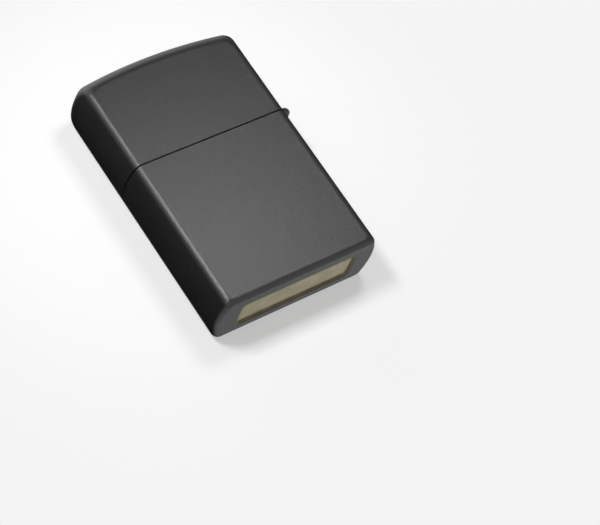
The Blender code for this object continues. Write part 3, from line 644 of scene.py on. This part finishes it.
def lathe(name, profile, axis_point, along="Y", steps=64):
    """A turned piece from (radius, distance along the axis), closed round its axis."""
    mesh = bmesh.new()
    rings = []
    for radius, distance in profile:
        ring = []
        for i in range(steps):
            a = 2 * pi * i / steps
            u, v = radius * cos(a), radius * sin(a)
            offset = {"X": (distance, u, v), "Y": (u, distance, v), "Z": (u, v, distance)}[along]
            ring.append(mesh.verts.new(Vector(axis_point) + Vector(offset)))
        rings.append(ring)
    closed = rings + [rings[0]]
    for near, far in zip(closed, closed[1:]):
        for i in range(steps):
            mesh.faces.new((near[i - 1], near[i], far[i], far[i - 1]))
    bmesh.ops.remove_doubles(mesh, verts=mesh.verts, dist=1e-8)
    bmesh.ops.recalc_face_normals(mesh, faces=mesh.faces)
    return to_object(mesh, name)


def carve(obj, operation, tools):
    """Applies a Boolean with each tool and removes the tools."""
    for tool in tools:
        modifier = obj.modifiers.new("carve", "BOOLEAN")
        modifier.operation = operation
        modifier.solver = "EXACT"
        modifier.object = tool
    settle(obj)
    for tool in tools:
        bpy.data.objects.remove(tool)


def settle(obj):
    """Bakes an object's modifiers into its mesh."""
    evaluated = obj.evaluated_get(bpy.context.evaluated_depsgraph_get())
    mesh = bpy.data.meshes.new_from_object(evaluated)
    old = obj.data
    obj.modifiers.clear()
    obj.data = mesh
    bpy.data.meshes.remove(old)
    mesh.name = obj.name


def soften(obj, width, segments=2):
    """Rounds sharp edges and shades the piece smooth."""
    round_edges(obj, width, segments)
    shade(obj)


def round_edges(obj, width, segments=2):
    """Modifiers that round the edges sharper than 50 degrees and even out the shading."""
    bevel = obj.modifiers.new("soft edges", "BEVEL")
    bevel.width = width
    bevel.segments = segments
    bevel.limit_method = "ANGLE"
    bevel.angle_limit = radians(50.0)
    weighted = obj.modifiers.new("even shading", "WEIGHTED_NORMAL")
    weighted.keep_sharp = True


def shade(obj, angle=32.0):
    obj.data.shade_smooth()
    obj.data.set_sharp_from_angle(angle=radians(angle))


def present(obj, body, finish_name, slot, *nodes):
    """Gives a piece its finish, its body and the CAD nodes that it stands for."""
    obj.data.materials.clear()
    obj.data.materials.append(finish(finish_name))
    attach(obj, body)
    if nodes:
        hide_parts(*nodes)


# Pieces

class LIGHTER_OT_case(Operator):
    """Lower shell of the case, with the recess in its base and the notch for the hinge"""
    bl_idname = "lighter.case"
    bl_label = "Case"

    def execute(self, context):
        sizes = context.scene.lighter_shell
        plan = outside_plan()
        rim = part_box("case_shell")[1].z
        shell = cup("case", plan, rim, 0.0, sizes.base_edge, sizes.base_edge, 0.0)
        length, depth = sizes.panel_length / 2, sizes.panel_depth / 2
        recess = rounded_box(-length, length, -depth, depth, sizes.panel_corner)
        tools = [sheet("case_recess", [recess], 2 * sizes.panel_sink, (0, 0, 0)),
                 hinge_notch(rim - sizes.notch_height, rim + sizes.wall)]
        carve(shell, "DIFFERENCE", tools)
        soften(shell, sizes.lip)
        present(shell, "case", "matt_black_coat", "black_coat", "case_shell")
        return {"FINISHED"}


def hinge_notch(low, high):
    sizes = bpy.context.scene.lighter_shell
    half = sizes.notch_length / 2
    return block("notch", (HINGE.x - NOTCH_INWARD, -half, low),
                 (HINGE.x + NOTCH_OUTWARD, half, high))


class LIGHTER_OT_base_panel(Operator):
    """Bare metal panel pressed into the base, with its turned-down edge"""
    bl_idname = "lighter.base_panel"
    bl_label = "Base panel"

    def execute(self, context):
        sizes = context.scene.lighter_shell
        length = sizes.panel_length / 2 - PANEL_FIT
        depth = sizes.panel_depth / 2 - PANEL_FIT
        corner = sizes.panel_corner - PANEL_FIT
        edge = PANEL_FLANGE
        outer = rounded_box(-length, length, -depth, depth, corner)
        inner = rounded_box(-length + edge, length - edge, -depth + edge, depth - edge,
                            corner - edge)
        height = sizes.panel_sink - PANEL_SHEET / 2
        panel = sheet("base_panel", [outer], PANEL_SHEET, (0, 0, height))
        low = PANEL_FLANGE_FOOT
        flange = sheet("base_panel_edge", [outer, inner], height - low, (0, 0, (height + low) / 2))
        for piece in (panel, flange):
            soften(piece, PANEL_FIT, 1)
            present(piece, "case", "bare_pale_brass", "brass")
        return {"FINISHED"}


class LIGHTER_OT_lid(Operator):
    """Flip lid with its crowned top"""
    bl_idname = "lighter.lid"
    bl_label = "Lid"

    def execute(self, context):
        sizes = context.scene.lighter_shell
        plan = outside_plan()
        low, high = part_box("lid_shell")
        chord = plan.width / 2
        crown = (chord ** 2 + sizes.crown ** 2) / (2 * sizes.crown)
        shell = cup("lid", plan, low.z, high.z, sizes.lid_edge, sizes.lid_end, crown)
        carve(shell, "DIFFERENCE", [hinge_notch(low.z - sizes.wall, low.z + sizes.notch_height)])
        soften(shell, sizes.lip)
        present(shell, "lid", "matt_black_coat", "black_coat", "lid_shell")
        return {"FINISHED"}


class LIGHTER_OT_hinge(Operator):
    """Leaves, rolled knuckles and pin of the hinge"""
    bl_idname = "lighter.hinge"
    bl_label = "Hinge"

    def execute(self, context):
        sizes = context.scene.lighter_hinge
        low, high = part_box("case_hinge_leaf")
        length = high.y - low.y
        width = (length - 4 * sizes.gap) / 5
        for node, body, first, upward in (("case_hinge_leaf", "case", 0, -1),
                                          ("lid_hinge_leaf", "lid", 1, 1)):
            leaf = self.leaf(sizes, node, upward)
            present(leaf, body, "matt_black_coat", "black_coat", node)
            for i in range(first, 5, 2):
                start = low.y + i * (width + sizes.gap)
                knuckle = self.knuckle(sizes, f"{body}_knuckle_{i + 1}", start, start + width)
                present(knuckle, body, "matt_black_coat", "black_coat")
                web = self.web(sizes, f"{body}_web_{i + 1}", start, start + width, upward)
                present(web, body, "matt_black_coat", "black_coat")
        pin_low, pin_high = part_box("hinge_pin")
        radius = (pin_high.z - pin_low.z) / 2
        soft = radius / 3
        profile = [(0, pin_low.y), (radius - soft, pin_low.y), (radius, pin_low.y + soft),
                   (radius, pin_high.y - soft), (radius - soft, pin_high.y), (0, pin_high.y)]
        pin = lathe("hinge_pin_turned", profile, (HINGE.x, 0, HINGE.z), steps=32)
        shade(pin)
        present(pin, "case", "matt_black_coat", "dark_steel", "hinge_pin")
        return {"FINISHED"}

    def knuckle(self, sizes, name, low, high):
        soft = KNUCKLE_SOFT
        profile = [(sizes.bore, low), (sizes.knuckle - soft, low), (sizes.knuckle, low + soft),
                   (sizes.knuckle, high - soft), (sizes.knuckle - soft, high), (sizes.bore, high)]
        rolled = lathe(name, profile, (HINGE.x, 0, HINGE.z))
        shade(rolled)
        return rolled

    def arc(self, sizes, inward, ys):
        plan = outside_plan()
        radius = plan.bow - bpy.context.scene.lighter_shell.wall - sizes.leaf_gap - inward
        return [(plan.centre_x + sqrt(radius ** 2 - y * y), y) for y in ys]

    def leaf(self, sizes, node, upward):
        low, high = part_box(node)
        ys = [low.y + (high.y - low.y) * i / 24 for i in range(25)]
        outline = self.arc(sizes, 0.0, ys) + self.arc(sizes, sizes.leaf, ys[::-1])
        if upward > 0:
            near, far = HINGE.z + LEAF_FROM_AXIS, high.z
        else:
            near, far = low.z, HINGE.z - LEAF_FROM_AXIS
        leaf = sheet(node + "_plate", [outline], far - near, (0, 0, (near + far) / 2))
        soften(leaf, SHEET_SOFT, 1)
        return leaf

    def web(self, sizes, name, low, high, upward):
        middle = (low + high) / 2
        root = self.arc(sizes, sizes.leaf, [middle])[0][0]
        near = HINGE.z + upward * sizes.web_near
        far = HINGE.z + upward * sizes.web_far
        web = block(name, (root, low, min(near, far)),
                    (HINGE.x - WEB_SHORT_OF_AXIS, high, max(near, far)))
        soften(web, SHEET_SOFT, 1)
        return web


class LIGHTER_OT_insert(Operator):
    """Tank, top plate and wind guard of the insert"""
    bl_idname = "lighter.insert"
    bl_label = "Insert"

    def execute(self, context):
        sizes = context.scene.lighter_insert
        plan = insert_plan()
        low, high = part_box("insert_tank")
        inside = plan.inset(TANK_WALL, TANK_WALL)
        tank = sheet("tank", [plan.outline(), inside.outline()], high.z - low.z,
                     (0, 0, (low.z + high.z) / 2))
        soften(tank, SHEET_SOFT)
        # The darker tank steel is painted shade for the inside of the case.
        present(tank, "case", "tank_steel_painted_shade", "steel", "insert_tank")
        guard = self.guard(sizes, plan)
        soften(guard, GUARD_SOFT)
        present(guard, "case", "satin_steel", "steel", "chimney")
        return {"FINISHED"}

    def guard(self, sizes, plan):
        low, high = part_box("chimney")
        plate_top = low.z + sizes.plate
        radius = plan.depth / 2 - sizes.guard_inset
        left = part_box("flint_tube")[1].x + GUARD_TO_TUBE
        right = CAM_AXIS.x - sizes.ear_hub - 3 * sizes.ear
        wick_x = wick_place()
        holes = [circle(wick_x, 0, WICK_ROOM), circle(WHEEL_AXIS.x, 0, TUBE_HOLE),
                 spring_rivet_hole()]
        plate = sheet("wind_guard", [plan.outline(), *holes], sizes.plate,
                      (0, 0, low.z + sizes.plate / 2))
        wall = sizes.guard_wall
        outer = belt([(left + radius, 0, radius), (right - radius, 0, radius)], 40)
        inner = belt([(left + radius, 0, radius - wall), (right - radius, 0, radius - wall)], 40)
        foot = low.z + sizes.plate / 2
        body = sheet("guard_wall", [outer, inner], high.z - foot, (0, 0, (high.z + foot) / 2))
        wheel_low, wheel_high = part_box("striker_wheel")
        wheel_half = wheel_high.y + WHEEL_SIDE_ROOM
        wheel_radius = (wheel_high.z - wheel_low.z) / 2
        slot_low = WHEEL_AXIS.z - wheel_radius - WHEEL_UNDER_ROOM
        cam_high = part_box("cam")[1]
        cam_half = cam_high.y + CAM_SIDE_ROOM
        cuts = [block("wheel_slot", (left - wall, -wheel_half, slot_low),
                      (left + radius / 2, wheel_half, high.z + wall)),
                block("cam_slot", (right - radius / 3, -cam_half, plate_top),
                      (right + wall, cam_half, cam_high.z + CAM_OVER_ROOM))]
        cuts += self.air_holes(sizes, wick_x, (plate_top + high.z) / 2, 4 * radius)
        carve(body, "DIFFERENCE", cuts)
        ears = []
        bend = radius - wall / 2
        wheel_root = left + radius - sqrt(bend ** 2 - (wheel_half + sizes.ear / 2) ** 2)
        cam_root = right - radius + sqrt(bend ** 2 - (cam_half + sizes.ear / 2) ** 2)
        small = EAR_CORNER
        wheel_ear = [(WHEEL_AXIS.x, WHEEL_AXIS.z, sizes.ear_hub),
                     (wheel_root - small, WHEEL_AXIS.z - wheel_radius - EAR_FOOT_DROP, small),
                     (wheel_root - small, high.z - 2 * small, small)]
        cam_ear = [(cam_root + small, foot + small, small),
                   (CAM_AXIS.x + sizes.ear_hub - small, foot + small, small),
                   (CAM_AXIS.x, CAM_AXIS.z, sizes.ear_hub),
                   (cam_root + small, CAM_AXIS.z + sizes.ear_hub, small)]
        for circles, hub, inside in ((wheel_ear, WHEEL_AXIS, wheel_half),
                                     (cam_ear, CAM_AXIS, cam_half)):
            hole = circle(hub.x, hub.z, sizes.rivet_hole)
            for side in (-1, 1):
                ears.append(sheet("ear", [belt(circles), hole], sizes.ear,
                                  (0, side * (inside + sizes.ear / 2), 0), upright=True))
        carve(plate, "UNION", [body, *ears])
        return plate

    def air_holes(self, sizes, x, z, reach):
        """Cutters for three rows of round holes, the middle row shifted by half a pitch."""
        cuts = []
        for row, count in enumerate((3, 2, 3)):
            for column in range(count):
                across = x + (column - (count - 1) / 2) * sizes.hole_pitch
                up = z + (row - 1) * sizes.hole_pitch
                cuts.append(sheet("air_hole", [circle(across, up, sizes.hole, 32)], reach,
                                  (0, 0, 0), upright=True))
        return cuts


def wick_place():
    """The wick's line, from the packing layer that starts beside it."""
    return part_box("packing_1")[0].x - WICK_ROOM


def spring_rivet_hole():
    """The outline of the hole for the rivet that holds the cam's spring."""
    low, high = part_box("cam_spring_rivet")
    return circle((low.x + high.x) / 2, 0, SPRING_RIVET_HOLE)


class LIGHTER_OT_striker(Operator):
    """Toothed wheel and its finish, with the small metal pieces of the insert"""
    bl_idname = "lighter.striker"
    bl_label = "Striker and small metal pieces"

    def execute(self, context):
        wheel = self.wheel(context.scene.lighter_insert)
        shade(wheel, 25.0)
        present(wheel, "striker_wheel", "dark_steel", "dark_steel", "striker_wheel")
        looks = {"wheel_rivet": "dark_steel", "cam_rivet": "dark_steel", "cam": "satin_steel",
                 "cam_spring_rivet": "dark_steel", "flint_tube": "turned_brass",
                 "flint": "flint_rod", "flint_plunger": "turned_brass",
                 "flint_screw": "turned_brass"}
        for node, look in looks.items():
            obj = frame["nodes"][node]
            weld = obj.modifiers.new("weld", "WELD")
            weld.merge_threshold = 1e-7
            round_edges(obj, SHEET_SOFT)
            obj.data.shade_smooth()
            for slot in obj.material_slots:
                slot.material = finish(look)
        return {"FINISHED"}

    def wheel(self, sizes):
        """Two coarse slanted bands and a fine one between them, as one turned grid."""
        low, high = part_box("striker_wheel")
        radius = (high.z - low.z) / 2
        steps = sizes.teeth * 12
        angles = [2 * pi * i / steps for i in range(steps)]
        mesh = bmesh.new()
        rings = []
        for i in range(33):
            t = i / 32
            y = low.y + (high.y - low.y) * t
            rings.append([self.rim_point(mesh, self.rim_radius(sizes, radius, a, t), a, y)
                          for a in angles])
        for y in (high.y, low.y):
            rings.append([self.rim_point(mesh, sizes.rivet_hole, a, y) for a in angles])
        closed = rings + [rings[0]]
        for near, far in zip(closed, closed[1:]):
            for i in range(steps):
                mesh.faces.new((near[i - 1], near[i], far[i], far[i - 1]))
        bmesh.ops.recalc_face_normals(mesh, faces=mesh.faces)
        return to_object(mesh, "toothed_wheel")

    def rim_point(self, mesh, radius, angle, y):
        return mesh.verts.new((WHEEL_AXIS.x + radius * cos(angle), y,
                               WHEEL_AXIS.z + radius * sin(angle)))

    def rim_radius(self, sizes, radius, angle, t):
        """The rim's radius at an angle and a share t of the width, with the teeth cut in."""
        side = abs(t - 0.5) * 2
        if side > COARSE_FROM:
            slant = COARSE_SLANT * side * (1 if t > 0.5 else -1)
            phase = (sizes.teeth * (angle + slant)) / (2 * pi)
            cut = abs(phase % 1 - 0.3) / 0.7 * sizes.tooth
            return radius - cut - max(side - CHAMFER_FROM, 0) * CHAMFER_DROP
        turns = FINE_RATIO * sizes.teeth * angle / (2 * pi)
        first = abs((turns + t * FINE_CROSSINGS) % 1 - 0.5)
        second = abs((turns - t * FINE_CROSSINGS) % 1 - 0.5)
        groove = GROOVE_DEPTH if side > GROOVE_FROM else 0.0
        return radius - FINE_DROP - min(first, second) * 0.4 * sizes.tooth - groove


class LIGHTER_OT_springs(Operator):
    """Coil under the flint and bent strip behind the cam"""
    bl_idname = "lighter.springs"
    bl_label = "Springs"

    def execute(self, context):
        self.coil(context.scene.lighter_insert)
        self.strip(context.scene.lighter_insert)
        return {"FINISHED"}

    def coil(self, sizes):
        low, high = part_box("flint_spring")
        reach = (high.x - low.x) / 2 - sizes.wire
        centre = (low + high) / 2
        bottom, top = low.z + sizes.wire, high.z - sizes.wire
        per_turn = 32
        count = per_turn * sizes.turns
        route = []
        for i in range(count + 1):
            a = 2 * pi * i / per_turn
            z = bottom + (top - bottom) * i / count
            route.append((centre.x + reach * cos(a), reach * sin(a), z))
        spring = wire("flint_spring_coil", route, sizes.wire)
        shade(spring, 60.0)
        present(spring, "case", "dark_steel", "dark_steel", "flint_spring")
        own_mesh(spring)

    def strip(self, sizes):
        low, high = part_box("cam_spring")
        thin = sizes.strip
        bend = 3 * thin
        x, z = high.x - bend, low.z + bend
        outer = [(x + bend * sin(a), z - bend * cos(a)) for a in quarter(12)]
        inner = [(x + (bend - thin) * sin(a), z - (bend - thin) * cos(a))
                 for a in reversed(quarter(12))]
        outline = [(low.x, low.z), *outer, (high.x, high.z), (high.x - thin, high.z), *inner,
                   (low.x, low.z + thin)]
        spring = sheet("cam_spring_strip", [outline], high.y - low.y, (0, 0, 0), upright=True)
        hole = sheet("strip_hole", [spring_rivet_hole()], 2 * bend, (0, 0, low.z))
        carve(spring, "DIFFERENCE", [hole])
        soften(spring, STRIP_SOFT)
        settle(spring)
        present(spring, "case", "dark_steel", "dark_steel", "cam_spring")
        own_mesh(spring)


class LIGHTER_OT_wick(Operator):
    """Braided wick that winds down through the packing"""
    bl_idname = "lighter.wick"
    bl_label = "Wick"

    def execute(self, context):
        sizes = context.scene.lighter_insert
        route = self.even(self.route(), WICK_STEP)
        for i in range(sizes.strands):
            strand = wire(f"wick_strand_{i + 1}", self.strand(route, i, sizes), sizes.strand, 2)
            shade(strand, 60.0)
            present(strand, "case", "cotton_fibre", "cotton", *(["wick"] if i == 0 else []))
        return {"FINISHED"}

    def route(self):
        """The winding line in XZ, round the ends of the packing layers."""
        layers = [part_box(f"packing_{i}") for i in range(1, 6)]
        x = wick_place()
        thickness = layers[0][1].z - layers[0][0].z
        heights = [(low.z + high.z) / 2 for low, high in layers]
        bend = thickness / 2 + WICK_ROOM
        turn = bend + WICK_ROOM
        right, left = layers[0][1].x, layers[4][0].x
        points = [(x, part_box("wick")[1].z - 0.05 * MM), (x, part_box("chimney")[0].z)]
        points += [(x + bend - bend * cos(a), heights[0] - bend * sin(a)) for a in quarter(8)]
        for i in range(1, 4):
            outward = 1 if i % 2 else -1
            end = right - turn if i % 2 else left + turn
            points += [(end + outward * bend * sin(2 * a), heights[i] + bend * cos(2 * a))
                       for a in quarter(16)]
        points.append((x, heights[3] - bend))
        return [Vector((px, 0, pz)) for px, pz in points]

    def even(self, points, step):
        """The same line with its points a fixed step apart."""
        placed = [points[0].copy()]
        spare = 0.0
        for start, end in zip(points, points[1:]):
            span = (end - start).length
            while spare + step <= span:
                spare += step
                placed.append(start.lerp(end, spare / span))
            spare -= span
        return placed

    def strand(self, route, number, sizes):
        """One strand: it circles the line and dips under the strands that circle the other way."""
        hand = 1 if number % 2 else -1
        start = 2 * pi * (number // 2) / (sizes.strands // 2)
        points = []
        for i in range(1, len(route) - 1):
            along = (route[i - 1] - route[i + 1]).normalized()
            side = Vector((0, 1, 0))
            out = along.cross(side)
            angle = start + hand * 2 * pi * i * WICK_STEP / WICK_BRAID_PITCH
            under = 0 if hand > 0 else pi
            lift = WICK_BRAID_RADIUS + WICK_BRAID_WAVE * cos(sizes.strands / 2 * angle + under)
            points.append(route[i] + (side * cos(angle) + out * sin(angle)) * lift)
        return points


class LIGHTER_OT_packing(Operator):
    """Loose cotton pads and the felt that closes the tank"""
    bl_idname = "lighter.packing"
    bl_label = "Packing and felt"

    def execute(self, context):
        for i in range(1, 7):
            low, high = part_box(f"packing_{i}")
            pad = self.wad(f"cotton_wad_{i}", low, high, i)
            present(pad, "case", "cotton_fibre", "cotton", f"packing_{i}")
        felt = self.felt()
        present(felt, "case", "pressed_felt", "felt", "felt_pad")
        return {"FINISHED"}

    def wad(self, name, low, high, seed):
        """A lump of cotton that fills its room without leaving it."""
        mesh = bmesh.new()
        bmesh.ops.create_cube(mesh, size=2.0)
        bmesh.ops.subdivide_edges(mesh, edges=mesh.edges, cuts=15, use_grid_fill=True)
        middle, half = (low + high) / 2, (high - low) / 2
        round_off = min(half) * 0.96
        for vert in mesh.verts:
            point = Vector(vert.co[axis] * half[axis] for axis in range(3))
            core = Vector(max(min(point[axis], half[axis] - round_off), round_off - half[axis])
                          for axis in range(3))
            outward = point - core
            if outward.length:
                outward = outward.normalized() * round_off
            lump = noise.fractal((point + Vector((seed, 0, 0))) / COTTON_LUMP, 0.9, 2.1, 3)
            vert.co = middle + core + outward * (0.93 + 0.06 * max(min(lump, 1.0), -1.0))
        bmesh.ops.recalc_face_normals(mesh, faces=mesh.faces)
        wad = to_object(mesh, name)
        wad.data.shade_smooth()
        return wad

    def felt(self):
        low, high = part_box("felt_pad")
        plan = insert_plan()
        gap = (plan.depth - (high.y - low.y)) / 2
        hole = circle(WHEEL_AXIS.x, 0, FELT_HOLE)
        slab = sheet("felt_slab", [plan.inset(gap, gap).outline(), hole], high.z - low.z,
                     (0, 0, (low.z + high.z) / 2))
        slit = block("felt_cut", (*FELT_SLIT_LOW, low.z - MM), (*FELT_SLIT_HIGH, high.z + MM))
        carve(slab, "DIFFERENCE", [slit])
        soften(slab, FELT_SOFT, 3)
        return slab


# Stage

class LIGHTER_OT_stage(Operator):
    """Camera, soft lights, dark cards and a pale floor"""
    bl_idname = "lighter.stage"
    bl_label = "Stage"

    def execute(self, context):
        settings = context.scene.lighter_stage
        context.scene.view_settings.view_transform = "Standard"
        self.camera(context.scene, settings)
        self.world(context.scene, settings)
        self.lights()
        self.floor(settings)
        return {"FINISHED"}

    def camera(self, scene, settings):
        a, e, roll = settings.azimuth, settings.elevation, settings.roll
        back = Vector((sin(a) * cos(e), -cos(a) * cos(e), sin(e)))
        level = Vector((0, 0, 1)).cross(back).normalized()
        upright = back.cross(level)
        right = level * cos(roll) + upright * sin(roll)
        up = back.cross(right)
        data = bpy.data.cameras.new("camera")
        data.lens = settings.lens
        data.sensor_width = 36.0
        data.clip_start = 0.01
        data.clip_end = 20.0
        camera = bpy.data.objects.new("camera", data)
        turn = Matrix((right, up, back)).transposed()
        place = Vector(settings.aim) + back * settings.distance
        camera.matrix_world = Matrix.Translation(place) @ turn.to_4x4()
        scene.collection.objects.link(camera)
        scene.camera = camera

    def world(self, scene, settings):
        """Pale where it is seen or mirrored, dimmer as light on the object."""
        shader = Shader("pale_room", material=False)
        path = {name: shader.node("ShaderNodeLightPath", output=name)
                for name in ("Is Camera Ray", "Is Glossy Ray", "Is Transmission Ray")}
        seen = path["Is Camera Ray"] + path["Is Glossy Ray"] + path["Is Transmission Ray"]
        strength = settings.fill + (1 - settings.fill) * seen
        light = shader.node("ShaderNodeBackground", {},
                            {"Color": rgba(settings.backdrop), "Strength": strength})
        shader.node("ShaderNodeOutputWorld", {}, {"Surface": light})
        scene.world = shader.owner

    def lights(self):
        low, high = (Vector(corner) for corner in CAD_BOX)
        middle = (low + high) / 2
        # Name, direction from the lighter, distance, size in metres and power in watts
        softboxes = (
            ("key", (0.054, -0.176, 0.040), 0.20, (0.05, 0.05), 0.165),
            ("edge", (-0.140, -0.280, 0.085), 0.33, (0.05, 0.08), 0.80),
            ("top", (-0.10, -0.15, 1.0), 0.70, (0.5, 0.5), 1.2),
            ("rear", (0.75, 0.62, -0.22), 0.70, (0.3, 0.4), 0.6),
        )
        for name, direction, distance, size, power in softboxes:
            data = bpy.data.lights.new(name, "AREA")
            data.shape = "RECTANGLE"
            data.size, data.size_y = size
            data.energy = power
            lamp = bpy.data.objects.new(name, data)
            heading = Vector(direction).normalized()
            lamp.location = middle + heading * distance
            lamp.rotation_euler = heading.to_track_quat("Z", "Y").to_euler()
            lamp.visible_camera = False
            bpy.context.scene.collection.objects.link(lamp)
        self.cards(middle)

    def cards(self, middle):
        """Dark cards, out of the camera's sight, that keep the pale room out of the coat."""
        shader = Shader("dark_card")
        look = shader.surface(base_color=(0.012, 0.012, 0.012, 1.0), roughness=0.9,
                              specular_ior_level=0.1)
        mesh = bmesh.new()
        radius, low, high = 0.45, -0.15, 0.5
        columns = []
        for i in range(33):
            angle = radians(-15 + 210 * i / 32)
            x, y = radius * cos(angle), radius * sin(angle)
            columns.append([mesh.verts.new((x, y, low)), mesh.verts.new((x, y, high))])
        for near, far in zip(columns, columns[1:]):
            mesh.faces.new((near[0], near[1], far[1], far[0]))
        wall = to_object(mesh, "dark_wall")
        wall.location = middle
        front = square("dark_front", 0.5)
        heading = Vector((0.35, -0.88, 0.30)).normalized()
        front.location = middle + heading * 0.62
        front.rotation_euler = heading.to_track_quat("Z", "Y").to_euler()
        for card in (wall, front):
            card.data.materials.append(look)
            card.visible_camera = False
            card.visible_shadow = False

    def floor(self, settings):
        """Pale planes under and behind the lighter, each seen from its own side only."""
        high = Vector(CAD_BOX[1])
        for name, point, turn, spread, glow in (
                ("floor", (0, 0, -PLANE_GAP), Matrix.Identity(3), 0.12, settings.floor_glow),
                ("rest", (0, high.y + PLANE_GAP, high.z / 2), Matrix.Rotation(pi / 2, 3, "X"),
                 0.07, settings.glow)):
            plane = square(name, 0.6)
            plane.location = point
            plane.rotation_euler = turn.to_euler()
            look = self.floor_look(name + "_pale", settings.backdrop, spread, glow)
            plane.data.materials.append(look)
            plane.visible_diffuse = False
            plane.visible_glossy = False
            plane.visible_transmission = False
            plane.visible_shadow = False

    def floor_look(self, name, colour, spread, glow):
        shader = Shader(name)
        reach = shader.node("ShaderNodeVectorMath", {"operation": "LENGTH"},
                            {0: shader.place()}, output="Value")
        fade = shader.node("ShaderNodeMapRange", {"interpolation_type": "SMOOTHSTEP"},
                           {0: reach, 1: 0.03, 2: spread, 3: 1.0, 4: 0.0})
        behind = shader.node("ShaderNodeNewGeometry", output="Backfacing")
        paint = shader.node("ShaderNodeBsdfDiffuse", {}, {"Color": rgba(colour, 0.5)})
        camera = shader.node("ShaderNodeLightPath", output="Is Camera Ray")
        shine = shader.node("ShaderNodeEmission", {},
                            {"Color": rgba(colour), "Strength": camera * glow})
        lit = shader.node("ShaderNodeAddShader", {}, {0: paint, 1: shine})
        clear = shader.node("ShaderNodeBsdfTransparent")
        surface = shader.node("ShaderNodeMixShader", {},
                              {0: fade * (1 - behind), 1: clear, 2: lit})
        shader.node("ShaderNodeOutputMaterial", {}, {"Surface": surface})
        return shader.owner


class LIGHTER_PT_pieces(Panel):
    """Lists the pieces of the lighter"""
    bl_idname = "LIGHTER_PT_pieces"
    bl_label = "Pocket lighter"
    bl_space_type = "VIEW_3D"
    bl_region_type = "UI"
    bl_category = "Lighter"

    def draw(self, context):
        for piece in PIECES:
            self.layout.operator(piece.bl_idname)


PIECES = (LIGHTER_OT_case, LIGHTER_OT_base_panel, LIGHTER_OT_lid, LIGHTER_OT_hinge,
          LIGHTER_OT_insert, LIGHTER_OT_striker, LIGHTER_OT_springs, LIGHTER_OT_wick,
          LIGHTER_OT_packing, LIGHTER_OT_stage)
SETTINGS = {"lighter_shell": ShellSizes, "lighter_hinge": HingeSizes,
            "lighter_insert": InsertSizes, "lighter_finishes": Finishes,
            "lighter_stage": StageSettings}


def register():
    for group in SETTINGS.values():
        bpy.utils.register_class(group)
    for piece in (*PIECES, LIGHTER_PT_pieces):
        bpy.utils.register_class(piece)
    for name, group in SETTINGS.items():
        setattr(bpy.types.Scene, name, PointerProperty(type=group))


def unregister():
    for name in SETTINGS:
        delattr(bpy.types.Scene, name)
    for piece in (LIGHTER_PT_pieces, *reversed(PIECES)):
        bpy.utils.unregister_class(piece)
    for group in SETTINGS.values():
        bpy.utils.unregister_class(group)


def main():
    register()
    bpy.ops.lighter.stage()
    bpy.ops.lighter.case()
    bpy.ops.lighter.base_panel()
    bpy.ops.lighter.lid()
    bpy.ops.lighter.hinge()
    bpy.ops.lighter.insert()
    bpy.ops.lighter.striker()
    bpy.ops.lighter.springs()
    bpy.ops.lighter.wick()
    bpy.ops.lighter.packing()


if __name__ == "__main__":
    main()
